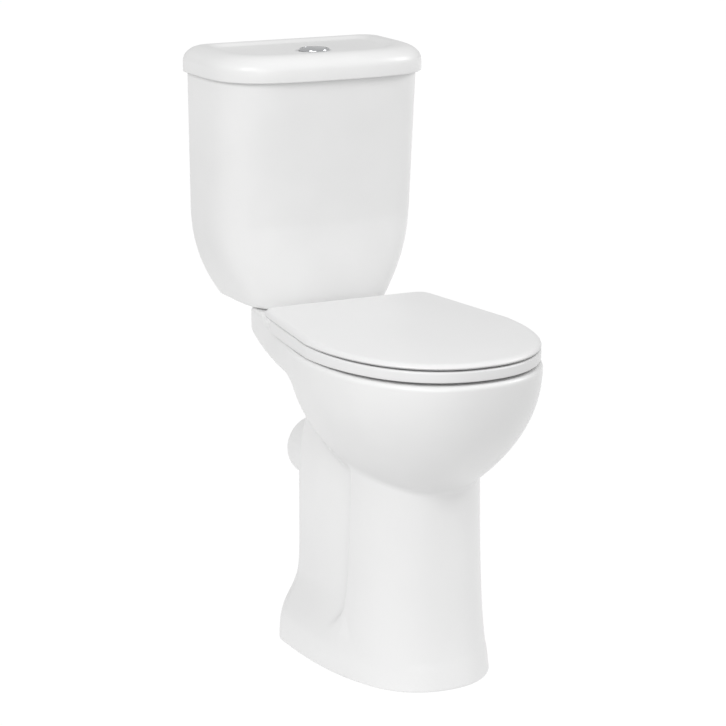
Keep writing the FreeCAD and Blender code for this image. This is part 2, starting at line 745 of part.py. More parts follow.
# ---- seat ----------------------------------------------------------------------------------
def build_seat_ring():
    stack = [(0.0, 3.0), (0.12, 1.0), (0.3, 0.0), (0.65, 0.0), (0.88, 1.2), (1.0, 4.0)]
    wires = []
    for share, inset in stack:
        wires.append(oval(seat_half_width - inset, ring_rear + inset, seat_widest, seat_front - inset,
                          ring_bottom + ring_thickness * share, ring_rear_power, seat_power))
    body = stack_up(wires)
    hole = Part.Face(oval(ring_opening_half_width, ring_opening_rear, seat_widest, ring_opening_front,
                          ring_bottom - past)).extrude(FreeCAD.Vector(0, 0, ring_thickness + 2 * past))
    body = body.cut(hole)
    start = hinge_x + post_width / 2 + lug_gap
    lugs = []
    for side in (-1, 1):
        low, high = sorted((side * start, side * (start + ring_lug_width)))
        lugs.append(cross_rod(barrel_radius, low, high, hinge_depth, pin_height))
        lugs.append(block(low, high, ring_rear + ring_lug_width, hinge_depth, ring_bottom + lug_inset,
                          ring_top - lug_inset))
    body = body.fuse(lugs)
    reach = hinge_x + post_width / 2 + 2 * ring_lug_width
    return body.cut(cross_rod(pin_radius + pin_clearance, -reach, reach, hinge_depth, pin_height))


def build_seat_lid():
    stack = []
    for share, inset in ((0.0, 1.5), (0.22, 0.0), (0.6, 0.0), (1.0, 3.0)):
        stack.append((seat_lid_bottom + seat_lid_edge * share, inset))
    for share, inset in ((0.35, 12.0), (0.7, 32.0), (0.92, 62.0), (1.0, 95.0)):
        stack.append((seat_lid_bottom + seat_lid_edge + seat_lid_dome * share, inset))
    wires = []
    for z, inset in stack:
        wires.append(oval(seat_half_width - inset, seat_lid_rear + inset, seat_widest,
                          seat_front - inset, z, lid_rear_power, seat_power))
    body = stack_up(wires)
    hollow = Part.Face(oval(seat_half_width - seat_lid_rim, seat_lid_rear - 3 * seat_lid_rim, seat_widest,
                            seat_front - seat_lid_rim, seat_lid_bottom - past, lid_rear_power, seat_power))
    body = body.cut(hollow.extrude(FreeCAD.Vector(0, 0, seat_lid_under - seat_lid_bottom + past)))
    start = hinge_x - post_width / 2 - lug_gap
    lugs = []
    for side in (-1, 1):
        low, high = sorted((side * start, side * (start - lid_lug_width)))
        lugs.append(cross_rod(barrel_radius, low, high, hinge_depth, pin_height))
        lugs.append(block(low, high, hinge_depth + seat_lid_rim, hinge_depth - post_back, pin_height,
                          seat_lid_under + past))
    body = body.fuse(lugs)
    reach = start + past
    return body.cut(cross_rod(pin_radius + pin_clearance, -reach, reach, hinge_depth, pin_height))


def hinge_post(side):
    """A block bolted to the shelf that carries one end of the seat and the lid."""
    low, high = sorted((side * (hinge_x - post_width / 2), side * (hinge_x + post_width / 2)))
    body = cross_rod(barrel_radius, low, high, hinge_depth, pin_height)
    body = body.fuse([block(low, high, hinge_depth + post_front, hinge_depth - post_back, rim_height,
                            pin_height),
                      block(low, high, hinge_depth + post_foot, hinge_depth - post_foot, rim_height,
                            rim_height + post_plate)])
    return body.cut(cross_rod(pin_radius, low - past, high + past, hinge_depth, pin_height))


def hinge_pins():
    start = hinge_x - post_width / 2 - lug_gap - lid_lug_width
    end = hinge_x + post_width / 2 + lug_gap + ring_lug_width
    pins = [cross_rod(pin_radius, start, end, hinge_depth, pin_height),
            cross_rod(pin_radius, -end, -start, hinge_depth, pin_height)]
    return Part.makeCompound(pins)


def buffers(low, high, spots):
    return Part.makeCompound([rod(buffer_radius, x, depth, low, high) for x, depth in spots])


# ---- flush valve ---------------------------------------------------------------------------
def build_valve_base():
    """The valve's seat with a tail through the cistern's floor and a windowed cage."""
    low = valve_seat - valve_flange
    cage = ring(cage_radius, cage_radius - cage_wall, 0, inlet_depth, valve_seat, valve_seat + cage_height)
    body = rod(valve_flange_radius, 0, inlet_depth, low, valve_seat)
    body = body.fuse([rod(tail_radius, 0, inlet_depth, cistern_bottom - tail_length, low), cage])
    cuts = [rod(tail_bore, 0, inlet_depth, cistern_bottom - tail_length - past, valve_seat + past)]
    for k in range(2):
        window = block(-cage_window / 2, cage_window / 2, inlet_depth + 2 * cage_radius,
                       inlet_depth - 2 * cage_radius, valve_seat + cage_band,
                       valve_seat + cage_height - cage_band)
        window.rotate(at(0, inlet_depth, 0), FreeCAD.Vector(0, 0, 1), 45 + 90 * k)
        cuts.append(window)
    return body.cut(cuts)


def build_valve_bridge():
    """The frame over the cage: two posts, a plate that guides the tube, and ears for the rockers."""
    foot = valve_seat + cage_height
    body = ring(cage_radius, cage_radius - cage_wall, 0, inlet_depth, foot, foot + bridge_hoop)
    pieces = [block(-bridge_half_width, bridge_half_width, inlet_depth + bridge_front,
                    inlet_depth - bridge_rear, bridge_top - bridge_plate, bridge_top)]
    for side in (-1, 1):
        low, high = sorted((side * (bridge_half_width - bridge_post), side * bridge_half_width))
        pieces.append(block(low, high, inlet_depth + bridge_post, inlet_depth - bridge_post, foot,
                            bridge_top))
        low, high = ear_span(side)
        pieces.append(block(low, high, rocker_pivot_depth + rocker_hub, rocker_pivot_depth - rocker_hub,
                            bridge_top - past, rocker_pin_height + rocker_hub))
    body = body.fuse(pieces)
    cuts = [rod(overflow_radius + tube_clearance, 0, inlet_depth, bridge_top - 2 * bridge_plate,
                bridge_top + past)]
    cuts.append(cross_rod(rocker_pin_radius, -bridge_half_width, bridge_half_width, rocker_pivot_depth,
                          rocker_pin_height))
    return body.cut(cuts)


def arm_span(side):
    """The two faces of a rocker's arm; the half flush arm passes outside the tube's collar."""
    if side > 0:
        return overflow_radius + tube_clearance, overflow_radius + tube_clearance + rocker_width
    return -collar_radius - tube_clearance - rocker_width, -collar_radius - tube_clearance


def ear_span(side):
    """The two faces of the ear that holds a rocker's pin, outside the arm."""
    low, high = arm_span(side)
    if side > 0:
        return high + tube_clearance, high + tube_clearance + rocker_ear
    return low - tube_clearance - rocker_ear, low - tube_clearance


def rocker(side):
    """A lever that a push rod presses at the front pad and that lifts at its other end."""
    low, high = arm_span(side)
    inner = side * (push_rod_x - push_rod_radius)
    outer = side * (push_rod_x + push_rod_radius + past)
    z = rocker_pin_height
    half = rocker_thickness / 2
    body = block(low, high, rocker_pivot_depth + rocker_reach, button_depth, z - half, z + half)
    pad = block(min(inner, outer, low), max(inner, outer, high), rocker_pivot_depth - rocker_pad_rear,
                button_depth - rocker_pad, z - half, z + half)
    body = body.fuse([pad, cross_rod(rocker_hub, low, high, rocker_pivot_depth, z)])
    bore = cross_rod(rocker_pin_radius + pin_clearance, low - past, high + past, rocker_pivot_depth, z)
    return body.cut(bore)


def rocker_pins():
    pins = []
    for side in (-1, 1):
        ends = arm_span(side) + ear_span(side)
        pins.append(cross_rod(rocker_pin_radius, min(ends), max(ends), rocker_pivot_depth, rocker_pin_height))
    return Part.makeCompound(pins)


def build_overflow_tube():
    """The tube that stands on the seal's carrier, with the collar that the rocker lifts."""
    low = valve_seat + seal_lift + seal_thickness
    top = valve_seat + overflow_rise
    collar = rocker_pin_height + rocker_hub + collar_gap
    body = rod(overflow_radius, 0, inlet_depth, low, top)
    body = body.fuse([rod(seal_radius, 0, inlet_depth, low, low + carrier_thickness),
                      rod(collar_radius, 0, inlet_depth, collar, collar + collar_thickness)])
    return body.cut(rod(overflow_bore, 0, inlet_depth, low - past, top + past))


def back_nut(radius, bore, x, depth, height):
    """A hexagonal nut pulled up against the cistern's underside."""
    nut = hexagon(radius, x, depth, cistern_bottom - height, cistern_bottom)
    return nut.cut(rod(bore, x, depth, cistern_bottom - height - past, cistern_bottom + past))


# ---- fill valve ----------------------------------------------------------------------------
def build_fill_valve():
    """The stem with its flange inside the cistern and the threaded inlet below it."""
    shank_foot = cistern_bottom - inlet_shank_length
    tail_foot = shank_foot - inlet_tail_length
    stop = float_low - float_stop_gap - float_stop
    body = rod(fill_stem_radius, fill_x, fill_depth, fill_base, fill_top)
    body = body.fuse([
        rod(fill_flange_radius, fill_x, fill_depth, fill_base, fill_base + fill_flange),
        rod(inlet_shank_radius, fill_x, fill_depth, shank_foot, fill_base),
        rod(inlet_tail_radius, fill_x, fill_depth, tail_foot, shank_foot),
        rod(fill_stem_radius + float_stop_reach, fill_x, fill_depth, stop, stop + float_stop),
    ])
    return body.cut(rod(fill_bore, fill_x, fill_depth, tail_foot - past, fill_top - fill_crown))


def build_fill_cap():
    """The valve's head, with two ears that carry the float arm's pin."""
    pin_depth = fill_depth + arm_pivot_offset
    body = rod(fill_cap_radius, fill_x, fill_depth, fill_top, fill_top + fill_cap_height)
    ears = []
    for side in (-1, 1):
        inner = arm_width / 2 + arm_clearance
        low, high = sorted((fill_x + side * inner, fill_x + side * (inner + arm_ear)))
        ears.append(block(low, high, pin_depth + arm_hub, fill_depth, arm_pin_height - arm_ear_reach,
                          arm_pin_height + arm_ear_reach))
    body = body.fuse(ears)
    return body.cut(cross_rod(arm_pin_radius, fill_x - fill_cap_radius, fill_x + fill_cap_radius,
                              pin_depth, arm_pin_height))


def build_float_arm():
    """The lever that the float's link rod lifts; its fork slides along the rod."""
    pin_depth = fill_depth + arm_pivot_offset
    low = fill_x - arm_width / 2
    high = fill_x + arm_width / 2
    z = arm_pin_height
    half = arm_thickness / 2
    link = fill_depth + link_offset
    slot = link_radius + link_slot_clearance
    body = block(low, high, link + arm_end, pin_depth, z - half, z + half)
    body = body.fuse(cross_rod(arm_hub, low, high, pin_depth, z))
    fork = block(fill_x - slot, fill_x + slot, link + arm_end + past, link - arm_end, z - arm_hub,
                 z + arm_hub)
    bore = cross_rod(arm_pin_radius + pin_clearance, low - past, high + past, pin_depth, z)
    return body.cut([fork, bore])


def build_float():
    """An open cup that slides on the stem, with a tab at its rim for the link rod."""
    top = float_low + float_height
    bore = fill_stem_radius + float_clearance
    link = fill_depth + link_offset
    body = rod(float_radius, fill_x, fill_depth, float_low, top)
    body = body.cut(rod(float_radius - float_skin, fill_x, fill_depth, float_low + float_skin, top + past))
    collar = ring(bore + float_skin, bore, fill_x, fill_depth, float_low, top)
    tab = block(fill_x - float_tab_half_width, fill_x + float_tab_half_width, link + float_tab_half_width,
                fill_depth + float_radius - float_skin, top - float_tab, top)
    body = body.fuse([collar, tab])
    return body.cut(rod(bore, fill_x, fill_depth, float_low - past, top + past))


def build_float_link():
    """The rod from the float's tab through the arm's fork, with a collar on each side of it."""
    reach = arm_thickness / 2 + link_collar_gap
    depth = fill_depth + link_offset
    over = arm_pin_height + reach
    under = arm_pin_height - reach
    body = rod(link_radius, fill_x, depth, float_low + float_height, over + 2 * link_collar)
    return body.fuse([rod(link_collar_radius, fill_x, depth, under - link_collar, under),
                      rod(link_collar_radius, fill_x, depth, over, over + link_collar)])


# ---- fasteners -----------------------------------------------------------------------------
def wing_nut(x, depth, top):
    """A round hub with two wings, threaded up against a washer."""
    foot = top - wing_hub
    wings = block(x - wing_span, x + wing_span, depth + wing_half_thickness, depth - wing_half_thickness,
                  foot + wing_inset, top - wing_inset)
    body = rod(wing_hub_radius, x, depth, foot, top).fuse(wings)
    return body.cut(rod(bolt_radius + thread_clearance, x, depth, foot - past, top + past))


def pair(make):
    """The left and right copies of a piece, as separate solids."""
    return Part.makeCompound([make(-1), make(1)])


def hinge_bolt(side):
    return rod(bolt_radius, side * hinge_x, hinge_depth, hinge_seat - bolt_tail, rim_height)


def coupling_bolt(side):
    x = side * coupling_x
    head = cistern_inside + coupling_washer
    body = rod(bolt_radius, x, coupling_depth, coupling_seat - bolt_tail, head)
    return body.fuse(rod(bolt_head_radius, x, coupling_depth, head, head + bolt_head))


def coupling_seal(side):
    return ring(bolt_head_radius + 1, bolt_radius + thread_clearance, side * coupling_x, coupling_depth,
                cistern_inside, cistern_inside + coupling_washer)


def washer_under(x, depth, seat):
    return ring(washer_radius, bolt_radius + thread_clearance, x, depth, seat - coupling_washer, seat)


# ---- the pieces, by name -------------------------------------------------------------------
def pan_pieces():
    """The pan and what is bolted to it."""
    return {
        "pan": build_pan(),
        "hinge_post_left": hinge_post(-1),
        "hinge_post_right": hinge_post(1),
        "hinge_pins": hinge_pins(),
        "hinge_bolts": pair(hinge_bolt),
        "hinge_washers": pair(lambda side: washer_under(side * hinge_x, hinge_depth, hinge_seat)),
        "hinge_wing_nuts": pair(lambda side: wing_nut(side * hinge_x, hinge_depth,
                                                      hinge_seat - coupling_washer)),
    }


def seat_pieces():
    """The seat ring and the seat lid, each with four rubber buffers."""
    made = {"seat_ring": build_seat_ring(), "seat_lid": build_seat_lid()}
    ring_spots = []
    lid_spots = []
    depths = (hinge_depth + rear_buffer_offset, seat_front - front_buffer_offset)
    for ring_inset, lid_inset, depth in zip(ring_buffer_insets, lid_buffer_insets, depths):
        for side in (-1, 1):
            ring_spots.append((side * (rim_half_width - ring_inset), depth))
            lid_spots.append((side * (seat_half_width - lid_inset), depth))
    made["seat_ring_buffers"] = buffers(rim_height + buffer_gap, ring_bottom, ring_spots)
    made["seat_lid_buffers"] = buffers(ring_top + buffer_gap, seat_lid_under, lid_spots)
    return made


def cistern_pieces():
    """The cistern, its coupling to the pan, its lid and the flush buttons."""
    return {
        "cistern": build_cistern(),
        "coupling_bolts": pair(coupling_bolt),
        "coupling_seals": pair(coupling_seal),
        "coupling_washers": pair(lambda side: washer_under(side * coupling_x, coupling_depth, coupling_seat)),
        "coupling_wing_nuts": pair(lambda side: wing_nut(side * coupling_x, coupling_depth,
                                                         coupling_seat - coupling_washer)),
        "doughnut_seal": ring(inlet_recess_radius - doughnut_clearance, back_nut_radius + doughnut_clearance,
                              0, inlet_depth, recess_floor, cistern_bottom),
        "cistern_lid": build_cistern_lid(),
        "button_bezel": build_bezel(),
        "bezel_collar_nut": ring(collar_nut_radius, bezel_collar_radius + thread_clearance, 0, button_depth,
                                 cistern_top - collar_nut_height, cistern_top),
        "full_flush_button": button(1),
        "half_flush_button": button(-1),
        "full_flush_push_rod": push_rod(1),
        "half_flush_push_rod": push_rod(-1),
    }


def flush_valve_pieces():
    """The valve that the rockers lift off the cistern's outlet."""
    seal_foot = valve_seat + seal_lift
    return {
        "flush_valve_washer": ring(valve_flange_radius, tail_radius + washer_clearance, 0, inlet_depth,
                                   cistern_inside, cistern_inside + valve_washer),
        "flush_valve_back_nut": back_nut(back_nut_radius, tail_radius + thread_clearance, 0, inlet_depth,
                                         back_nut_height),
        "flush_valve_base": build_valve_base(),
        "flush_valve_bridge": build_valve_bridge(),
        "overflow_tube": build_overflow_tube(),
        "flush_valve_seal": ring(seal_radius, overflow_bore, 0, inlet_depth, seal_foot,
                                 seal_foot + seal_thickness),
        "full_flush_rocker": rocker(1),
        "half_flush_rocker": rocker(-1),
        "rocker_pins": rocker_pins(),
    }


def fill_valve_pieces():
    """The float valve that refills the cistern."""
    ears = arm_width / 2 + arm_clearance + arm_ear
    return {
        "fill_valve": build_fill_valve(),
        "fill_valve_cap": build_fill_cap(),
        "fill_valve_washer": ring(fill_flange_radius, inlet_shank_radius + washer_clearance, fill_x,
                                  fill_depth, cistern_inside, fill_base),
        "fill_valve_back_nut": back_nut(fill_flange_radius, inlet_shank_radius + thread_clearance, fill_x,
                                        fill_depth, back_nut_height),
        "fill_float": build_float(),
        "float_link": build_float_link(),
        "float_arm": build_float_arm(),
        "float_arm_pin": cross_rod(arm_pin_radius, fill_x - ears, fill_x + ears,
                                   fill_depth + arm_pivot_offset, arm_pin_height),
    }


os.makedirs("parts", exist_ok=True)
for group in (pan_pieces, seat_pieces, cistern_pieces, flush_valve_pieces, fill_valve_pieces):
    for name, shape in group().items():
        shape.translate(FreeCAD.Vector(0, projection / 2, 0))
        box = shape.BoundBox
        print(name, len(shape.Solids), round(shape.Volume / 1000, 1), shape.isValid(),
              [round(v, 1) for v in (box.XMin, box.YMin, box.ZMin, box.XMax, box.YMax, box.ZMax)])
        shape.exportStep("parts/" + name + ".step")
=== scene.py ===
import json
from math import cos, pi, radians, sin

import bpy
import numpy as np
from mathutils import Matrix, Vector


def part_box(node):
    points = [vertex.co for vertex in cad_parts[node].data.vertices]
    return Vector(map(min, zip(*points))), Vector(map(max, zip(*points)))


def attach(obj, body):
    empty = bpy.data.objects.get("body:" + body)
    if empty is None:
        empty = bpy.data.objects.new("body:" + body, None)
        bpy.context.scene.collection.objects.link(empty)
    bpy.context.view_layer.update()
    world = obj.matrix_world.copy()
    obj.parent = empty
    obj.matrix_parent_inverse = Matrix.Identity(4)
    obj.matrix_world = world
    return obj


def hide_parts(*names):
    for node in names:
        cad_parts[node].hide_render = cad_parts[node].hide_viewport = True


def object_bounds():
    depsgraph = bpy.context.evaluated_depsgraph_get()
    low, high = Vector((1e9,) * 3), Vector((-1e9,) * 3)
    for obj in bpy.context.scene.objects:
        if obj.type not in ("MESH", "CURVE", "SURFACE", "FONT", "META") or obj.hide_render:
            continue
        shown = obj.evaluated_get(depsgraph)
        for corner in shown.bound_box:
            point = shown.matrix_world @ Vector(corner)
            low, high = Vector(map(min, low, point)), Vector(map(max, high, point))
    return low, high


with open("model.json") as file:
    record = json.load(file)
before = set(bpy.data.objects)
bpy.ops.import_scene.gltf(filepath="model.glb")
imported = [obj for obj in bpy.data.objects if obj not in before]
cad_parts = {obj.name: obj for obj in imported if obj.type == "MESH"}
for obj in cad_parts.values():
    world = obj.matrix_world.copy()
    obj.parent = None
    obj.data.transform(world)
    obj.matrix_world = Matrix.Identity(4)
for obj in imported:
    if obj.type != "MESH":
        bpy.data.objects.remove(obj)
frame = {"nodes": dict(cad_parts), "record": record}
cad_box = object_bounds()

# Shapes are worked out in millimetres, as x, depth and z: depth is the distance from the wall that
# the cistern stands against, and skin() turns it into the frame's Y in metres.


# ---- sizes taken from the frame --------------------------------------------------------------
def span(node):
    """A CAD node's lowest and highest corners in millimetres."""
    low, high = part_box(node)
    return np.array(low) * 1000, np.array(high) * 1000


wall = 1000 * cad_box[1][1]
pan_high = span("pan")[1]
cistern_low, cistern_high = span("cistern")
lid_low, lid_high = span("cistern_lid")
seat_lid_high = span("seat_lid")[1]
buffer_high = span("seat_lid_buffers")[1]
bezel_low, bezel_high = span("button_bezel")
key_low, key_high = span("full_flush_button")
pin_low, pin_high = span("hinge_pins")

rim = span("hinge_post_left")[0][2]
platform = pan_high[2]
pan_half = pan_high[0]
button_depth = wall - 0.5 * (bezel_low[1] + bezel_high[1])
pan_front = 666.0
pin_height = 0.5 * (pin_low[2] + pin_high[2])
pin_depth = wall - 0.5 * (pin_low[1] + pin_high[1])

# ---- sizes of the pan's outside --------------------------------------------------------------
columns = 320               # points round every large loop
bowl_widest = 433.0
bowl_foot = 300.0
bowl_foot_half = 80.4
bowl_foot_front = 556.7
bowl_foot_rear = 309.0
bowl_rear = 230.0
bowl_curve = 2.2
bowl_rear_power = 2.3
bowl_front_power = 2.27
bowl_fillet = 8.0           # where the bowl meets the pedestal
column_half = 95.0
column_power = 2.2
column_corner = 5.0
column_back = 200.0
column_flank = 430.0        # depth from which its nose curves in
column_front = 549.0
column_flare = 17.0
column_flare_front = 17.0
column_flare_height = 94.0
column_rear = 426.0
column_rear_flare = 55.0
column_rear_flare_height = 58.0
column_edge = 7.0           # rounding of its rear edge
column_fillet = 24.0        # most that its side is blended into the spine
column_fillet_least = 2.0
blend_front = 450.0         # that blend fades out forward of this depth ...
blend_fade = 30.0
blend_low = 20.0            # ... and below this height
blend_rise = 60.0
spine_half = 90.0
spine_rear = 221.0
spine_corner = 28.0
spine_neck = 34.0
foot_flare = 43.0
foot_corner = 50.0
foot_middle = 71.0
foot_softness = 14.0
foot_flank = 292.0
spine_power = 2.4
spine_front = 500.0
foot_front = pan_front - 100
outlet_height = 256.0
neck_height = 400.0
shelf_half = 104.0
shelf_rear = 78.0
shelf_flank = 330.0
shelf_spread = 43.0
shelf_corner = 45.0
shelf_front = 480.0
shelf_power = 2.4
shelf_depth = 55.0          # rim to the shelf's underside at the bowl
shelf_rise = 27.0           # how much higher the underside is at the wall
shelf_rise_start = 5.0      # how far from the shelf's rear edge the underside starts to change
shelf_edge = 18.0
shelf_fillet = 26.0
platform_front = 194.0
platform_slope = 12.0
hollow_top = 176.0
pan_wall = 11.0


# ---- fields ----------------------------------------------------------------------------------
# A field is the distance from an outline, less than zero inside it.
def ease(share):
    """0 below 0, 1 above 1, and 3s^2 - 2s^3 between."""
    s = np.clip(share, 0.0, 1.0)
    return s * s * (3 - 2 * s)


def joined(a, b, radius):
    """The smaller of two fields, rounded over a band so that their surfaces meet in a fillet."""
    h = np.clip(0.5 + 0.5 * (b - a) / radius, 0.0, 1.0)
    return b + (a - b) * h - radius * h * (1 - h)


def within(a, b, radius):
    """The larger of two fields, rounded over a band so that their surfaces meet in a soft edge."""
    return -joined(-a, -b, radius)


def oval_field(x, depth, half, rear, widest, front, rear_power, front_power):
    """A superellipse each way from the widest depth: distance from its middle less the distance to
    the outline along the same line."""
    ahead = depth > widest
    power = np.where(ahead, front_power, rear_power)
    length = np.where(ahead, front - widest, widest - rear)
    gauge = ((np.abs(x) / half) ** power + (np.abs(depth - widest) / length) ** power) ** (1 / power)
    return np.hypot(x, depth - widest) * (1 - 1 / np.maximum(gauge, 1e-3))


def bow_field(x, depth, half, back, flank, front, power, corner, spread=0.0):
    """A D: a rectangle with rounded rear corners whose sides may spread, and a superellipse nose."""
    wide = half + spread * np.clip((depth - back) / (flank - back), 0.0, 1.0)
    nose = oval_field(x, depth, wide, back, flank, front, power, power)
    beside = np.abs(x) - (wide - corner)
    behind = back + corner - depth
    outer = np.hypot(np.maximum(beside, 0), np.maximum(behind, 0))
    block = outer + np.minimum(np.maximum(beside, behind), 0)
    return np.where(depth > flank, nose, block - corner)


def trace(field, centre, angles, reach=420.0, steps=70):
    """How far a ray goes from a centre before it leaves the outermost part of a field: a walk
    inwards in even steps, then halving. field takes sideways and forward distances."""
    side, ahead = np.sin(angles), np.cos(angles)
    inside = np.zeros(np.broadcast(side, centre).shape)
    outside = np.full_like(inside, reach)
    found = np.zeros(inside.shape, bool)
    for step in range(steps, -1, -1):
        radius = reach * step / steps
        hit = (field(radius * side, centre + radius * ahead) < 0) & ~found
        inside = np.where(hit, radius, inside)
        outside = np.where(hit, radius + reach / steps, outside)
        found |= hit
    for _ in range(26):
        middle = 0.5 * (inside + outside)
        within_it = field(middle * side, centre + middle * ahead) < 0
        inside = np.where(within_it, middle, inside)
        outside = np.where(within_it, outside, middle)
    return 0.5 * (inside + outside)


def curve_through(knots, values, at):
    """A smooth curve through values at knots: cubic pieces whose slopes are those of the chords."""
    knots, values, at = np.asarray(knots, float), np.asarray(values, float), np.asarray(at, float)
    slopes = np.gradient(values, knots, axis=0)
    index = np.clip(np.searchsorted(knots, at, side="right") - 1, 0, len(knots) - 2)
    step = (knots[index + 1] - knots[index])[:, None]
    t = (at - knots[index])[:, None] / step
    a, b = values[index], values[index + 1]
    return (a * (1 + 2 * t) * (1 - t) ** 2 + b * t * t * (3 - 2 * t)
            + step * (slopes[index] * t * (1 - t) ** 2 - slopes[index + 1] * t * t * (1 - t)))


# ---- meshes ----------------------------------------------------------------------------------
def stack(x, depth, z):
    """Loops of points from arrays that broadcast to rows by columns."""
    return np.stack(np.broadcast_arrays(x, depth, z), axis=-1)


def closed_shell(loops, tube=False):
    """Vertices and faces of a closed skin over a stack of loops. Its ends close in poles, or, for
    a tube, the last loop joins the first. The faces are turned so that the volume is positive."""
    rows, cols = loops.shape[:2]
    points = loops.reshape(-1, 3)
    row = np.arange(rows if tube else rows - 1)[:, None]
    col = np.arange(cols)[None, :]
    after = (row + 1) % rows
    ahead = (col + 1) % cols
    quads = np.stack([row * cols + col, row * cols + ahead, after * cols + ahead, after * cols + col], -1)
    faces = quads.reshape(-1, 4).tolist()
    if not tube:
        points = np.vstack([points, loops[0].mean(0), loops[-1].mean(0)])
        first, last = rows * cols, rows * cols + 1
        for c in range(cols):
            n = (c + 1) % cols
            faces.append([first, n, c])
            faces.append([last, (rows - 1) * cols + c, (rows - 1) * cols + n])
    flat = np.array([f[:3] for f in faces] + [[f[0], f[2], f[3]] for f in faces if len(f) == 4])
    a, b, c = points[flat[:, 0]], points[flat[:, 1]], points[flat[:, 2]]
    if np.einsum("ij,ij->i", a, np.cross(b, c)).sum() < 0:
        faces = [face[::-1] for face in faces]
    return points, faces


def skin(name, shells, material, body, *nodes, slot="ceramic"):
    """One object from closed shells, given as (loops, tube) pairs; it stands for the CAD nodes."""
    points, faces, start = [], [], 0
    for loops, tube in shells:
        placed = np.array(loops, float)
        placed[..., 1] = wall - placed[..., 1]
        these, polygons = closed_shell(placed * 0.001, tube)
        points.append(these)
        faces += [[start + i for i in face] for face in polygons]
        start += len(these)
    mesh = bpy.data.meshes.new(name)
    mesh.from_pydata(np.vstack(points).tolist(), [], faces)
    mesh.polygons.foreach_set("use_smooth", [True] * len(mesh.polygons))
    mesh.validate()
    mesh.materials.append(material)
    piece = bpy.data.objects.new(name, mesh)
    bpy.context.scene.collection.objects.link(piece)
    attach(piece, body)
    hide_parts(*nodes)
    return piece


around = np.linspace(0, 2 * pi, columns, endpoint=False)[None, :]


def column_of(values):
    """Values as a column, one to a loop."""
    return np.asarray(values, float)[:, None]


def quarter(count):
    """Angles from 0 to a right angle, for a rounded edge."""
    return np.linspace(0, pi / 2, count)


# ---- pan -------------------------------------------------------------------------------------
def bowl_field(x, depth, z):
    """The oval basin: each section grows from the foot's to the rim's by 1 - (1 - t)^2.2, where t
    is its share of the height between them."""
    t = np.minimum((z - bowl_foot) / (rim - bowl_foot), 1.0)
    grown = 1 - (1 - t) ** bowl_curve
    half = np.maximum(bowl_foot_half + (pan_half - bowl_foot_half) * grown, 10.0)
    front = np.maximum(bowl_foot_front + (pan_front - bowl_foot_front) * grown, bowl_widest + 10)
    rear = np.minimum(bowl_foot_rear + (bowl_rear - bowl_foot_rear) * grown, bowl_widest - 10)
    return oval_field(x, depth, half, rear, bowl_widest, front, bowl_rear_power, bowl_front_power)


def column_field(x, depth, z):
    """The front of the pedestal: a D that flares towards the floor by e to the minus height, and
    is cut off at its rear, where the cut moves back by e to the minus height too."""
    flare = np.exp(-z / column_flare_height)
    rear = column_rear - column_rear_flare * np.exp(-z / column_rear_flare_height)
    half = column_half + column_flare * flare
    front = column_front + column_flare_front * flare
    nose = bow_field(x, depth, half, column_back, column_flank, front, column_power, column_corner)
    return within(nose, rear - depth, column_edge)


def spine_field(x, depth, z):
    """The narrower rear of the pedestal: a D that spreads into the foot by a logistic step of the
    height, and narrows above the outlet by the square of the share of the way to its neck."""
    flare = 1 / (1 + np.exp((z - foot_middle) / foot_softness))
    neck = np.clip((z - outlet_height) / (neck_height - outlet_height), 0, 1) ** 2
    half = spine_half + foot_flare * flare - spine_neck * neck
    front = spine_front + (foot_front - spine_front) * flare
    corner = spine_corner + (foot_corner - spine_corner) * flare
    return bow_field(x, depth, half, spine_rear, foot_flank, front, spine_power, corner)


def shelf_field(x, depth, z):
    """The deck behind the bowl: a spreading D above an underside that rises towards the wall by
    the cube of the share of the way there."""
    plan = bow_field(x, depth, shelf_half, shelf_rear, shelf_flank, shelf_front, shelf_power,
                     shelf_corner, shelf_spread)
    share = np.clip((depth - shelf_rear - shelf_rise_start) / (shelf_flank - shelf_rear), 0, 1)
    underside = rim - shelf_depth + shelf_rise * (1 - share) ** 3
    return within(plan, underside - z, shelf_edge)


def pan_field(x, depth, z):
    """The smallest of pedestal, shelf and basin, joined with fillets: tight under the basin and
    wide elsewhere."""
    blend = ease((blend_front - depth) / blend_fade) * ease((z - blend_low) / blend_rise)
    fillet = column_fillet_least + column_fillet * blend
    support = joined(spine_field(x, depth, z), column_field(x, depth, z), fillet)
    support = joined(support, shelf_field(x, depth, z), shelf_fillet)
    return joined(support, bowl_field(x, depth, z), bowl_fillet)


def deck(depth):
    """Height of the pan's top: the rim, and the raised platform under the cistern."""
    return rim + (platform - rim) * ease((platform_front - depth) / platform_slope)


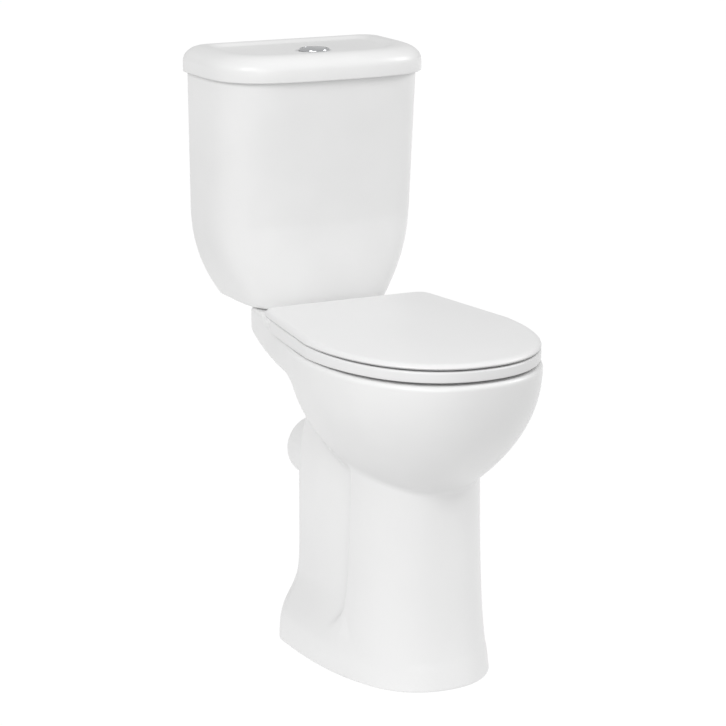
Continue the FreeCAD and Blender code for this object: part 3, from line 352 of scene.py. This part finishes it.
def pan_outside():
    """Loops from the floor to the deck. Between the basin's foot and the rim each loop sags
    towards the wall, by the square of the share of the way there, to cross the shelf's underside."""
    centre = bowl_widest
    edge, top_edge = 4.0, 7.0
    sag_most, sag_low, sag_high, lift_low = 90.0, 300.0, 400.0, 440.0
    floor_turn = quarter(5)
    levels = np.concatenate([edge * (1 - np.cos(floor_turn)), np.linspace(6, 112, 34),
                             np.linspace(115, 282, 42), np.linspace(284, 330, 32),
                             np.linspace(332, rim - top_edge, 76)])
    upright = np.zeros(len(levels) - len(floor_turn))
    inset = np.concatenate([edge * (1 - np.sin(floor_turn)), upright])
    turn = quarter(8)[1:]
    levels = np.concatenate([levels, rim - top_edge + top_edge * np.sin(turn)])
    inset = column_of(np.concatenate([inset, top_edge * (1 - np.cos(turn))]))
    level = column_of(levels)
    sag = sag_most * ease((level - sag_low) / 100) * (1 - ease((level - sag_high) / 70))
    lift = ease((level - lift_low) / 34)

    def height(depth):
        """A loop's height at a depth: its level, less its sag, plus what the platform lifts it."""
        share = np.clip((centre - depth) / (centre - shelf_rear), 0, 1)
        return level - sag * share ** 2 + lift * (deck(depth) - rim)

    def field(x, depth):
        """The pan's field at the loops' own heights, drawn in for the rounded edges."""
        return pan_field(x, depth, height(depth)) + inset

    radius = trace(field, centre, around + 0 * level)
    depth = centre + radius * np.cos(around)
    return stack(radius * np.sin(around), depth, height(depth))


def oval_radius(half, rear, widest, front, rear_power, front_power):
    """Polar radius of an egg-shaped outline round its widest point's middle."""
    ahead = np.cos(around) > 0
    power = np.where(ahead, front_power, rear_power)
    length = np.where(ahead, front - widest, widest - rear)
    sideways, along = np.abs(np.sin(around)) / half, np.abs(np.cos(around)) / length
    return (sideways ** power + along ** power) ** (-1 / power)


def basin():
    """Loops down the inside: the rim's rounded lip, its inner face, the undercut and the sump."""
    sections = np.array([
        # drop, half width, rear, widest, front
        (0.0, 136.0, 276.0, 430.0, 634.0),
        (1.2, 130.0, 282.0, 430.0, 628.0),
        (5.0, 125.8, 286.2, 430.0, 623.8),
        (12.0, 124.0, 288.0, 430.0, 622.0),
        (40.0, 124.5, 287.5, 430.0, 622.5),
        (46.0, 128.0, 284.0, 430.0, 627.0),
        (60.0, 134.0, 281.0, 430.0, 632.0),
        (100.0, 119.0, 291.0, 430.0, 609.0),
        (150.0, 88.0, 305.0, 420.0, 550.0),
        (200.0, 62.0, 321.0, 402.0, 490.0),
        (240.0, 49.0, 330.0, 388.0, 450.0),
        (268.0, 42.0, 338.0, 386.0, 432.0),
        (281.0, 30.0, 350.0, 386.0, 418.0),
        (284.5, 12.0, 368.0, 386.0, 402.0),
    ])
    along = np.arange(len(sections))
    fine = np.linspace(0, along[-1], 74)
    drop, half, rear, widest, front = curve_through(along, sections, fine).T[:, :, None]
    radius = oval_radius(half, rear, widest, front, bowl_rear_power, bowl_front_power)
    return stack(radius * np.sin(around), widest + radius * np.cos(around), rim - drop)


def pan_hollow():
    """Loops up the inside of the open pedestal, a wall's thickness in from spine and column."""
    level = column_of(np.concatenate([[0.0, 3.0], np.linspace(8, hollow_top, 20)]))

    def field(x, depth):
        """Spine and column joined, drawn in by the wall."""
        spine, column = spine_field(x, depth, level), column_field(x, depth, level)
        return joined(spine, column, shelf_fillet) + pan_wall

    radius = trace(field, bowl_widest, around + 0 * level)
    return stack(radius * np.sin(around), bowl_widest + radius * np.cos(around), level)


def spigot():
    """The outlet: a profile of radius and depth turned round the waterway's axis, with a rolled
    lip at its end and a flare where it leaves the pedestal."""
    turn = quarter(7)
    outer, bore, end = 48.5, 38.5, 108.0
    lip = 4.0
    flare = 9.0
    profile = [(bore, spine_rear + 20), (bore, end + lip)]
    profile += [(bore + lip * (1 - cos(a)), end + lip * (1 - sin(a))) for a in turn[1:]]
    profile += [(outer - lip * (1 - sin(a)), end + lip * (1 - cos(a))) for a in turn]
    profile += [(outer, depth) for depth in np.linspace(end + 10, spine_rear - flare, 12)]
    profile += [(outer + flare * (1 - cos(a)), spine_rear - flare + (flare + 0.4) * sin(a))
                for a in turn[1:]]
    profile += [(outer - 2, spine_rear + 6)]
    radius, depth = column_of([r for r, _ in profile]), column_of([d for _, d in profile])
    turns = np.linspace(0, 2 * pi, 128, endpoint=False)[None, :]
    return stack(radius * np.sin(turns), depth, outlet_height + radius * np.cos(turns))


def make_pan(glaze):
    """One skin from the hollow's top down to the floor, up the outside, over the deck and down into
    the basin, and the outlet as a shell of its own."""
    outside = pan_outside()
    inside = basin()
    share = np.linspace(0, 1, 14)[1:-1, None, None]
    across = outside[-1] * (1 - share) + inside[0] * share
    across[..., 2] = deck(across[..., 1])
    loops = np.concatenate([pan_hollow()[::-1], outside, across, inside])
    return skin("glazed_pan", [(loops, False), (spigot(), True)], glaze, "root", "pan")


# ---- cistern and its lid ---------------------------------------------------------------------
cistern_height = cistern_high[2] - cistern_low[2]
cistern_back = 2.0
cistern_flank = 62.0        # depth from which the front curves in
cistern_power = 3.4
cistern_corner = 18.0
cistern_knee = 149.0        # height over the bottom at which the sides start to curve in
cistern_half = 166.2        # half width there
cistern_top_half = cistern_high[0] + 0.6
cistern_tuck = 49.5         # how much each side draws in from there to the bottom
cistern_tuck_power = 2.25
cistern_waist = 128.0       # height over the bottom at which the front is furthest back
cistern_front = 166.0       # its depth there
cistern_lean = 30.0         # how far forward the front comes from there to the top
cistern_toe = 9.0           # and from there to the bottom
lid_half = cistern_high[0] + 7.5
lid_front = 203.5
lid_corner = 20.0


def cistern_field(x, depth, z):
    """The D at a height. The sides draw in below the knee by a power of the share of the way down,
    and widen evenly above it. The front comes forward evenly above its waist, and by the square of
    the share of the way down below it."""
    height = z - cistern_low[2]
    low = np.clip(1 - height / cistern_knee, 0, 1)
    high = np.clip((height - cistern_knee) / (cistern_height - cistern_knee), 0, 1)
    half = (cistern_half - cistern_tuck * low ** cistern_tuck_power
            + (cistern_top_half - cistern_half) * high)
    lean = np.clip((height - cistern_waist) / (cistern_height - cistern_waist), 0, 1)
    dip = np.clip(1 - height / cistern_waist, 0, 1)
    front = cistern_front + cistern_lean * lean + cistern_toe * dip ** 2
    return bow_field(x, depth, half, cistern_back, cistern_flank, front, cistern_power, cistern_corner)


def make_cistern(glaze):
    """Loops from under the floor up the outside, over a rounded rim and down to the inner floor."""
    turn = quarter(7)
    foot, lip, thickness, floor = 2.5, 3.5, 9.0, 12.0
    base, top = cistern_low[2], cistern_high[2]
    rise = np.linspace(base + foot, top - lip, 62)
    level = np.concatenate([base + foot * (1 - np.cos(turn)), rise[1:-1],
                            top - lip * (1 - np.sin(turn)), top - lip * (1 - np.cos(turn[1:])),
                            rise[-2:1:-1], [base + floor + 2, base + floor]])
    inset = np.concatenate([foot * (1 - np.sin(turn)), 0 * rise[1:-1], lip * (1 - np.cos(turn)),
                            thickness - lip * (1 - np.sin(turn[1:])), 0 * rise[-2:1:-1] + thickness,
                            [thickness + 3, thickness + 12]])
    level, inset = column_of(level), column_of(inset)
    centre = 88.0
    radius = trace(lambda x, depth: cistern_field(x, depth, level) + inset, centre, around + 0 * level)
    loops = stack(radius * np.sin(around), centre + radius * np.cos(around), level)
    return skin("glazed_cistern", [(loops, False)], glaze, "root", "cistern")


def lid_field(x, depth, inset, back):
    """The lid's D drawn in by an inset at its sides and front, and by its own amount at the back."""
    return bow_field(x, depth, lid_half - inset, back, cistern_flank, lid_front - inset,
                     cistern_power, lid_corner)


def make_cistern_lid(glaze):
    """Loops from the hole's top edge outwards over the dish, the crest and the rounded side, under
    the skirt and back inside to the hole."""
    top = lid_high[2] - 0.1
    bottom = lid_low[2]
    plate = cistern_high[2]
    dish_drop, hole = 4.5, 21.5
    crest, shoulder, shoulder_drop = 31.0, 29.0, 22.0
    dish = top - dish_drop
    turn = quarter(12)
    slope = np.linspace(50, 36, 12)
    skirt = [(0.0, bottom + 2.2), (0.3, bottom + 1.0), (1.4, bottom + 0.2), (2.6, bottom),
             (4.4, bottom + 0.2), (5.2, bottom + 1.0), (5.5, bottom + 2.2), (5.5, plate - 2.0),
             (6.5, plate), (12.0, plate)]
    inset = np.concatenate([np.linspace(68, 52, 8), slope, [34.0, crest],
                            shoulder * (1 - np.sin(turn)), [i for i, _ in skirt]])
    level = np.concatenate([np.full(8, dish), dish + dish_drop * ease((52 - slope) / 17),
                            [top, top], top - shoulder_drop * (1 - np.cos(turn)),
                            [z for _, z in skirt]])
    # The back is nearly upright, so the shoulder draws in by only a small share there.
    back = np.where(inset < crest, 0.08 * inset, inset - 28.5)
    back[-len(skirt):] = np.minimum(inset[-len(skirt):], 8.0)
    level, inset, back = column_of(level), column_of(inset), column_of(back)
    centre = button_depth
    radius = trace(lambda x, depth: lid_field(x, depth, inset, back), centre, around + 0 * level)
    loops = stack(radius * np.sin(around), centre + radius * np.cos(around), level)
    ring_x, ring_depth = hole * np.sin(around), centre + hole * np.cos(around)
    rim_loop = stack(ring_x, ring_depth, dish)
    foot_loop = stack(ring_x, ring_depth, plate)
    share = np.linspace(0, 1, 8)[:-1, None, None]
    inner = rim_loop * (1 - share) + loops[:1] * share
    under = loops[-1:] * (1 - share[1:]) + foot_loop * share[1:]
    loops = np.concatenate([inner, loops, under, foot_loop])
    return skin("glazed_cistern_lid", [(loops, True)], glaze, "cistern_lid", "cistern_lid")


# ---- seat ------------------------------------------------------------------------------------
seat_half = 166.6
seat_front = 663.3
seat_widest = 430.0
seat_taper = 28.0            # how much each side narrows from there to the rear edge
ring_rear = 240.0
seat_lid_rear = 213.0
ring_gap = 4.3               # rim to the ring
ring_depth = 16.0
ring_fall = 2.6              # how far the ring's top comes down from its outer to its inner edge
seat_lid_gap = 2.9           # ring to the lid's edge
seat_power = 2.2
seat_corner = 24.0
settle_front = 575.0         # depth from which edges come down towards the rear
settle_reach = 240.0
opening_half = 108.0
opening_rear = 300.0
opening_front = 592.0
barrel_radius = 6.5
ring_arms_at = (-104.4, 91.4)
ring_arm_width = 13.0
ring_arm_front = 258.0
seat_lid_arms_at = (-63.9, 52.1)
seat_lid_arm_width = 11.8


def block_loops(x_low, x_high, outline, round_by=1.2):
    """A block along X whose side view is a loop of (depth, z) points, with rounded end edges: the
    loop shrinks towards its middle by the rounding at each end."""
    outline = np.asarray(outline, float)
    middle = outline.mean(0)
    out = outline - middle
    size = np.hypot(out[:, 0], out[:, 1])[:, None]
    turn = quarter(5)
    rows = [(x_low + round_by * (1 - cos(a)), round_by * (1 - sin(a))) for a in turn]
    rows += [(x_high - round_by * (1 - cos(a)), round_by * (1 - sin(a))) for a in turn[::-1]]
    loops = []
    for x, inset in rows:
        loop = middle + out * (1 - inset / size)
        loops.append(stack(x, loop[:, 0], loop[:, 1]))
    return np.array(loops)


def profile_ring(field, centre_depth, centre_z, count=48):
    """A loop of (depth, z) points round a field in the side view."""
    angles = np.linspace(0, 2 * pi, count, endpoint=False)[None, :]
    centre = np.full((1, 1), centre_depth)
    radius = trace(lambda up, depth: field(depth, centre_z + up), centre, angles, 60.0)
    along, up = radius[0] * np.cos(angles[0]), radius[0] * np.sin(angles[0])
    return np.stack([centre_depth + along, centre_z + up], -1)


def box_field(depth, z, depth_low, depth_high, low, high, corner):
    """A rectangle with rounded corners in the side view."""
    across = np.abs(depth - 0.5 * (depth_low + depth_high)) - 0.5 * (depth_high - depth_low) + corner
    up = np.abs(z - 0.5 * (low + high)) - 0.5 * (high - low) + corner
    outer = np.hypot(np.maximum(across, 0), np.maximum(up, 0))
    return outer + np.minimum(np.maximum(across, up), 0) - corner


def barrel_field(depth, z):
    """The round of a hinge barrel: distance from the pins' axis less its radius."""
    return np.hypot(depth - pin_depth, z - pin_height) - barrel_radius


def seat_radius(rear, inset):
    """How far the seat's outline is from its widest point's middle: a straight rear edge with
    rounded corners, sides that spread forward and a superellipse front."""
    share = (seat_widest - rear) / (seat_widest - seat_lid_rear)

    def field(x, depth):
        """The seat's D, narrowing towards its rear edge by the taper."""
        taper = seat_taper * share
        return bow_field(x, depth, seat_half - taper, rear, seat_widest, seat_front,
                         seat_power, seat_corner, taper) + inset

    return trace(field, seat_widest, around + 0 * inset)


def settled(loops, low, high, most):
    """Loops that come down towards the rear: by the most at the height low, by nothing at high and
    in proportion between, eased in over the reach behind the front depth."""
    share = np.clip((high - loops[..., 2]) / (high - low), 0.0, 1.0)
    loops[..., 2] -= most * share * ease((settle_front - loops[..., 1]) / settle_reach)
    return loops


def make_seat_ring(plastic):
    """A tube of loops: the section is a rounded band between the outer and the inner oval."""
    bottom, top = rim + ring_gap, rim + ring_gap + ring_depth
    turn = quarter(8)
    edge, lip = 3.0, 4.5
    outer = [(edge * (1 - sin(a)), bottom + edge * (1 - cos(a))) for a in turn]
    outer += [(edge * (1 - cos(a)), top - edge * (1 - sin(a))) for a in turn]
    inner = [(lip * (1 - sin(a)), top - lip * (1 - cos(a))) for a in turn]
    inner += [(lip * (1 - cos(a)), bottom + lip * (1 - sin(a))) for a in turn]
    inset, level = column_of([i for i, _ in outer]), column_of([z for _, z in outer])
    radius = seat_radius(ring_rear, inset)
    outside = stack(radius * np.sin(around), seat_widest + radius * np.cos(around), level)
    grow, height = column_of([i for i, _ in inner]), column_of([z for _, z in inner])
    radius = oval_radius(opening_half + grow, opening_rear - grow, seat_widest, opening_front + grow,
                         bowl_rear_power, bowl_front_power)
    inside = stack(radius * np.sin(around), seat_widest + radius * np.cos(around), height)
    share = np.linspace(0, 1, 12)[1:-1, None, None]
    crown = outside[-1] * (1 - share) + inside[0] * share
    crown[..., 2] = top - ring_fall * ease(1.6 * share[..., 0])
    inside[..., 2] -= ring_fall * (inside[..., 2] - bottom) / (top - bottom)
    under = inside[-1] * (1 - share) + outside[0] * share
    shells = [(settled(np.concatenate([outside, crown, inside, under]), bottom, top, 3.2), True)]

    def arm_field(depth, z):
        """A barrel and the bar that runs from it into the ring."""
        arm = box_field(depth, z, pin_depth - 3, ring_arm_front, bottom + 2, top - 1.6, 1.0)
        return joined(barrel_field(depth, z), arm, 3.0)

    outline = profile_ring(arm_field, 238.0, 494.0, 72)
    for x in ring_arms_at:
        shells.append((block_loops(x, x + ring_arm_width, outline), False))
    return skin("moulded_seat_ring", shells, plastic, "seat_ring", "seat_ring", slot="seat_plastic")


def make_seat_lid(plastic):
    """Loops from the middle of the hollow underside out to the edge and up over the dome."""
    bottom, top = rim + ring_gap + ring_depth + seat_lid_gap, seat_lid_high[2]
    under = buffer_high[2]
    turn = quarter(11)
    low_edge, high_edge, high_drop = 1.4, 11.0, 6.4
    dome, dome_reach = 3.2, 110.0
    shoulder = top - dome
    rows = [(60.0, under), (20.0, under), (7.5, under), (6.6, under), (6.0, bottom + 0.8)]
    rows += [(5.2, bottom + 0.2), (4.2, bottom), (low_edge, bottom)]
    rows += [(low_edge * (1 - sin(a)), bottom + low_edge * (1 - cos(a))) for a in turn[1::2]]
    rows += [(high_edge * (1 - cos(a)), shoulder - high_drop * (1 - sin(a))) for a in turn]
    for inset in np.linspace(high_edge + 2, 150, 34):
        rise = (top - shoulder) * np.sin(pi / 2 * min((inset - high_edge) / dome_reach, 1.0))
        rows.append((inset, shoulder + rise))
    inset, level = column_of([i for i, _ in rows]), column_of([z for _, z in rows])
    radius = seat_radius(seat_lid_rear, inset)
    loops = stack(radius * np.sin(around), seat_widest + radius * np.cos(around), level)
    edge = inset[:, 0] < 7
    loops[edge] = settled(loops[edge], bottom, shoulder, 2.4)
    # The rim ends short of the hinge posts, so that the lid turns past them.
    past_posts = ease((pin_depth + 16 - loops[..., 1]) / 10)
    loops[..., 2] += past_posts * np.maximum(under - 0.4 - loops[..., 2], 0.0)
    shells = [(loops, False)]

    def arm_field(depth, z):
        """A barrel and the short bar that runs from it up into the lid."""
        arm = box_field(depth, z, pin_depth - 4, pin_depth + 6, pin_height - 2, under + 1.0, 1.0)
        return joined(barrel_field(depth, z), arm, 2.0)

    outline = profile_ring(arm_field, pin_depth, pin_height + 2)
    for x in seat_lid_arms_at:
        shells.append((block_loops(x, x + seat_lid_arm_width, outline), False))
    return skin("moulded_seat_lid", shells, plastic, "seat_lid", "seat_lid", slot="seat_plastic")


def make_hinge_post(side, plastic):
    """A post whose side view is the barrel run down into a foot, with soft corners."""
    def field(depth, z):
        """The barrel, the post's body and its foot, joined with fillets."""
        body = box_field(depth, z, pin_depth - 4, pin_depth + 6.8, rim, pin_height + 2, 1.5)
        foot = box_field(depth, z, pin_depth - 6, pin_depth + 10, rim, rim + 2.2, 1.0)
        return joined(joined(barrel_field(depth, z), body, 3.0), foot, 3.0)

    outline = profile_ring(field, pin_depth, pin_height - 6, 96)
    node = "hinge_post_" + ("left" if side < 0 else "right")
    low, high = span(node)
    loops = block_loops(low[0] + 0.1, high[0] - 0.1, outline, 1.6)
    loops[..., 2] = np.maximum(loops[..., 2], rim)
    return skin("moulded_" + node, [(loops, False)], plastic, "root", node, slot="seat_plastic")


# ---- flush buttons ---------------------------------------------------------------------------
def make_bezel(chrome):
    """A tube round the buttons' axis: a rounded collar on the dish and its sleeve through the lid."""
    sleeve, collar, mouth, bore = 20.5, 23.4, 19.6, 18.95
    collar_width, collar_drop = 2.6, 2.8
    dish = cistern_high[2] + 21.1
    top = dish + 3.6
    foot = bezel_low[2]
    turn = quarter(8)
    profile = [(sleeve, foot), (sleeve, dish), (collar, dish)]
    profile += [(collar - collar_width * (1 - cos(a)), top - collar_drop + collar_drop * sin(a))
                for a in turn]
    profile += [(mouth - 0.65 * sin(a), top - 0.65 * (1 - cos(a))) for a in turn]
    profile += [(bore, top - 6), (bore, foot)]
    radius, level = column_of([r for r, _ in profile]), column_of([z for _, z in profile])
    turns = np.linspace(0, 2 * pi, 96, endpoint=False)[None, :]
    loops = stack(radius * np.sin(turns), button_depth + radius * np.cos(turns), level)
    return skin("chromed_bezel", [(loops, True)], chrome, "cistern_lid", "button_bezel",
                slot="chrome")


def make_key(side, chrome):
    """One key of the split disc: its plan is the disc cut by the gap's straight side, and its top
    rises to a low dome with a finger hollow."""
    centre = button_depth
    low, high = key_low[2], key_high[2]
    radius, split, gap = 18.4, -5.0, 0.45
    edge, dome, hollow = 1.5, 1.2, 0.5
    cut = split + side * gap

    def field(x, depth):
        """The disc cut by the straight side, with a soft corner between them."""
        disc = np.hypot(x, depth - centre) - radius
        return within(disc, side * (cut - x), 1.6)

    middle_x = 0.5 * (cut + side * radius)
    turn = quarter(7)
    rows = [(0.0, low), (0.0, high - 3.2)]
    rows += [(edge * (1 - cos(a)), high - edge - dome + edge * sin(a)) for a in turn]
    inset, level = column_of([i for i, _ in rows]), column_of([z for _, z in rows])
    turns = np.linspace(0, 2 * pi, 128, endpoint=False)[None, :]
    reach = trace(lambda x, depth: field(x + middle_x, depth) + inset, centre, turns + 0 * level, 40.0)
    loops = stack(middle_x + reach * np.sin(turns), centre + reach * np.cos(turns), level)
    share = np.linspace(1, 0, 12)[1:-1]
    hub = np.array([middle_x, centre, high - dome])
    crown = hub + (loops[-1] - hub) * share[:, None, None]
    crown[..., 2] += dome * (1 - share[:, None] ** 2) - hollow * (1 - ease(share[:, None] * 2.2))
    name = "full_flush_button" if side > 0 else "half_flush_button"
    body = "full_button" if side > 0 else "half_button"
    shells = [(np.concatenate([loops, crown]), False)]
    return skin("chromed_" + name, shells, chrome, body, name, slot="chrome")


# ---- materials -------------------------------------------------------------------------------
class Value:
    """A socket in a material. Sums and products of it and numbers add Math nodes."""

    def __init__(self, paint, socket):
        self.paint = paint
        self.socket = socket

    def math(self, operation, first, second):
        """A Math node of two values or numbers."""
        return self.paint.node("Math", {"operation": operation}, {0: first, 1: second})

    def __add__(self, other):
        return self.math("ADD", self, other)

    __radd__ = __add__

    def __sub__(self, other):
        return self.math("SUBTRACT", self, other)

    def __rsub__(self, other):
        return self.math("SUBTRACT", other, self)

    def __mul__(self, other):
        return self.math("MULTIPLY", self, other)

    __rmul__ = __mul__

    def __abs__(self):
        return self.math("ABSOLUTE", self, 0.0)


class Paint:
    """One material's nodes on Object coordinates."""

    def __init__(self, name):
        self.material = bpy.data.materials.new(name)
        self.material.use_nodes = True
        self.tree = self.material.node_tree
        self.tree.nodes.clear()
        self.place = self.node("TexCoord", output="Object")

    def node(self, kind, settings=None, inputs=None, output=0):
        """Adds a node: its type, its settings, then values or links for its sockets."""
        made = self.tree.nodes.new("ShaderNode" + kind)
        for key, value in (settings or {}).items():
            setattr(made, key, value)
        for key, value in (inputs or {}).items():
            if isinstance(value, Value):
                self.tree.links.new(value.socket, made.inputs[key])
            else:
                made.inputs[key].default_value = value
        return Value(self, made.outputs[output])

    def noise(self, scale, detail=2.0, roughness=0.5):
        """Noise at a scale, in spots to the metre."""
        return self.node("TexNoise", {}, {"Vector": self.place, "Scale": scale, "Detail": detail,
                                          "Roughness": roughness})

    def mix(self, factor, first, second):
        """Two colours mixed by a factor."""
        return self.node("Mix", {"data_type": "RGBA"}, {0: factor, 6: (*first, 1.0), 7: (*second, 1.0)}, 2)

    def axis(self, index):
        """One coordinate of the point, in metres."""
        return self.node("SeparateXYZ", {}, {"Vector": self.place}, index)

    def step(self, value, low, high):
        """0 below low and 1 above high, smooth between."""
        return self.node("MapRange", {"interpolation_type": "SMOOTHSTEP"},
                         {0: value, 1: low, 2: high, 3: 0.0, 4: 1.0})

    def bump(self, height, strength, distance):
        """A normal bent by a height."""
        return self.node("Bump", {}, {"Height": height, "Strength": strength, "Distance": distance})

    def finish(self, **sockets):
        """The surface shader, its sockets named with underscores for spaces."""
        inputs = {key.replace("_", " "): value for key, value in sockets.items()}
        shader = self.node("BsdfPrincipled", {}, inputs)
        output = self.tree.nodes.new("ShaderNodeOutputMaterial")
        self.tree.links.new(shader.socket, output.inputs["Surface"])
        return self.material


def white_glaze():
    """Vitreous china: a clear wavy glaze over a white body whose tone drifts slightly at random, with
    painted shade that makes it a little greyer towards the foot."""
    paint = Paint("white_glaze")
    # painted shade: below 0.34 m the random drift is pulled towards the darker grey, more so nearer the
    # floor
    drift = paint.noise(4.0, 3.0) * (0.25 + 0.75 * paint.step(paint.axis(2), 0.0, 0.34))
    wave = paint.noise(38.0, 2.0)
    grain = paint.noise(900.0, 1.0)
    return paint.finish(
        Base_Color=paint.mix(drift, (0.735, 0.735, 0.735), (0.90, 0.90, 0.897)),
        Roughness=0.36 + 0.08 * paint.noise(14.0, 2.0),
        Coat_Weight=0.22, Coat_Roughness=0.16,
        Normal=paint.bump(wave + 0.05 * grain, 0.10, 0.002))


def seat_plastic():
    """Thermoset seat plastic: white, glossy, a touch softer than the glaze."""
    paint = Paint("seat_plastic")
    drift = paint.noise(7.0, 2.0)
    return paint.finish(
        Base_Color=paint.mix(drift, (0.80, 0.80, 0.80), (0.82, 0.82, 0.82)),
        Roughness=0.34 + 0.08 * paint.noise(22.0, 2.0),
        Normal=paint.bump(paint.noise(260.0, 2.0), 0.04, 0.001))


def bright_chrome():
    """Chrome plate with a faint haze."""
    paint = Paint("bright_chrome")
    haze = paint.noise(120.0, 3.0)
    return paint.finish(
        Base_Color=paint.mix(haze, (0.60, 0.61, 0.63), (0.70, 0.71, 0.72)),
        Metallic=1.0, Roughness=0.05 + 0.05 * haze)


def black_rubber():
    """Moulded rubber: near black, rough and finely grained."""
    paint = Paint("black_rubber")
    grain = paint.noise(300.0, 3.0)
    return paint.finish(
        Base_Color=paint.mix(grain, (0.018, 0.018, 0.018), (0.035, 0.035, 0.034)),
        Roughness=0.55 + 0.2 * grain, Normal=paint.bump(grain, 0.15, 0.0006))


def valve_plastic():
    """The valves' moulded plastic: pale grey with a satin grain."""
    paint = Paint("valve_plastic")
    grain = paint.noise(180.0, 3.0)
    return paint.finish(
        Base_Color=paint.mix(paint.noise(12.0), (0.66, 0.67, 0.66), (0.74, 0.74, 0.73)),
        Roughness=0.34 + 0.12 * grain, Normal=paint.bump(grain, 0.08, 0.0006))


def zinc_steel():
    """Zinc plate, brushed lightly along X."""
    paint = Paint("zinc_steel")
    stretched = paint.node("Mapping", {}, {"Vector": paint.place, "Scale": (30.0, 600.0, 600.0)})
    brushed = paint.node("TexNoise", {}, {"Vector": stretched, "Scale": 1.0, "Detail": 3.0})
    return paint.finish(
        Base_Color=paint.mix(paint.noise(25.0, 3.0), (0.50, 0.51, 0.52), (0.64, 0.64, 0.63)),
        Metallic=1.0, Roughness=0.24 + 0.2 * brushed, Normal=paint.bump(brushed, 0.08, 0.0004))


glaze = white_glaze()
plastic = seat_plastic()
chrome = bright_chrome()
finishes = {"ceramic": glaze, "seat_plastic": plastic, "chrome": chrome, "rubber": black_rubber(),
            "valve_plastic": valve_plastic(), "steel": zinc_steel()}

make_pan(glaze)
make_cistern(glaze)
make_cistern_lid(glaze)
make_seat_ring(plastic)
make_seat_lid(plastic)
make_hinge_post(-1, plastic)
make_hinge_post(1, plastic)
make_bezel(chrome)
make_key(1, chrome)
make_key(-1, chrome)

for part in frame["record"]["subparts"]:
    node = frame["nodes"].get(part["node"])
    if node is not None:
        for place in node.material_slots:
            place.material = finishes[part["material_slot"]]


# ---- floor, light and camera -----------------------------------------------------------------
camera_place = (-1.7503, -3.4681, 1.4082)
camera_turn = radians(26.43)    # the view's turn from straight ahead
camera_tilt = radians(75.97)    # and its tilt up from straight down
camera_lens = 133.57
floor_reach = 60.0
floor_dimmed_front = 0.62       # how much of the floor's light is taken away in front
floor_dimmed_beside = 0.36      # and beyond the sides
world_light = 0.58
body_aim = (0, 0, 0.45)
cistern_aim = (0, 0, 0.75)


def glowing_floor_with_painted_dims():
    """A white floor that glows as a light of its own, its glow painted dimmer a little way in front of the
    object and beyond its sides as painted shade, so that the white body keeps its shading."""
    paint = Paint("glowing_floor_with_painted_dims")
    turn_cos, turn_sin = cos(camera_turn), sin(camera_turn)
    across, along = paint.axis(0), paint.axis(1)
    right = turn_cos * across - turn_sin * along
    forward = -turn_sin * across - turn_cos * along
    # painted shade: the floor's glow is dimmed beyond the object's sides and in front of it, so less light
    # reaches the body from there
    beside = paint.step(abs(right) + 0.131 * forward, 0.58, 1.3) * paint.step(forward, -3.5, 0.0)
    glow = 1.0 - floor_dimmed_front * paint.step(forward, 0.34, 0.95)
    glow = glow * (1.0 - floor_dimmed_beside * beside)
    return paint.finish(Base_Color=(0.02, 0.02, 0.02, 1), Roughness=1.0, Specular_IOR_Level=0.0,
                        Emission_Color=paint.node("CombineXYZ", {}, {0: glow, 1: glow, 2: glow}),
                        Emission_Strength=1.0)


def make_floor():
    mesh = bpy.data.meshes.new("studio_floor")
    reach = floor_reach
    corners = [(-reach, -reach, 0), (reach, -reach, 0), (reach, reach, 0), (-reach, reach, 0)]
    mesh.from_pydata(corners, [], [(0, 1, 2, 3)])
    mesh.materials.append(glowing_floor_with_painted_dims())
    floor = bpy.data.objects.new("studio_floor", mesh)
    bpy.context.scene.collection.objects.link(floor)


def make_world():
    """Even white light from all round."""
    world = bpy.data.worlds.new("studio")
    world.use_nodes = True
    background = world.node_tree.nodes["Background"]
    background.inputs["Color"].default_value = (1, 1, 1, 1)
    background.inputs["Strength"].default_value = world_light
    bpy.context.scene.world = world


def softbox(name, place, aim, size, power):
    """A square light of a size in metres at a place, facing a point."""
    lamp = bpy.data.lights.new(name, "AREA")
    lamp.shape = "SQUARE"
    lamp.size = size
    lamp.energy = power
    box = bpy.data.objects.new(name, lamp)
    box.location = place
    box.rotation_euler = (Vector(aim) - Vector(place)).to_track_quat("-Z", "Y").to_euler()
    bpy.context.scene.collection.objects.link(box)


def make_camera():
    """A long lens at the object's left front, looking a little down."""
    camera = bpy.data.cameras.new("camera")
    camera.sensor_width = 36.0
    camera.lens = camera_lens
    view = bpy.data.objects.new("camera", camera)
    view.location = camera_place
    view.rotation_euler = (camera_tilt, 0, -camera_turn)
    bpy.context.scene.collection.objects.link(view)
    bpy.context.scene.camera = view


bpy.context.scene.view_settings.view_transform = "Standard"
make_floor()
make_world()
softbox("key_light", (-2.0, -1.33, 2.2), body_aim, 1.0, 32)
softbox("fill_light", (2.3, -0.68, 2.2), body_aim, 1.0, 22)
softbox("front_light", (-1.25, -2.6, 1.3), cistern_aim, 1.4, 19)
make_camera()
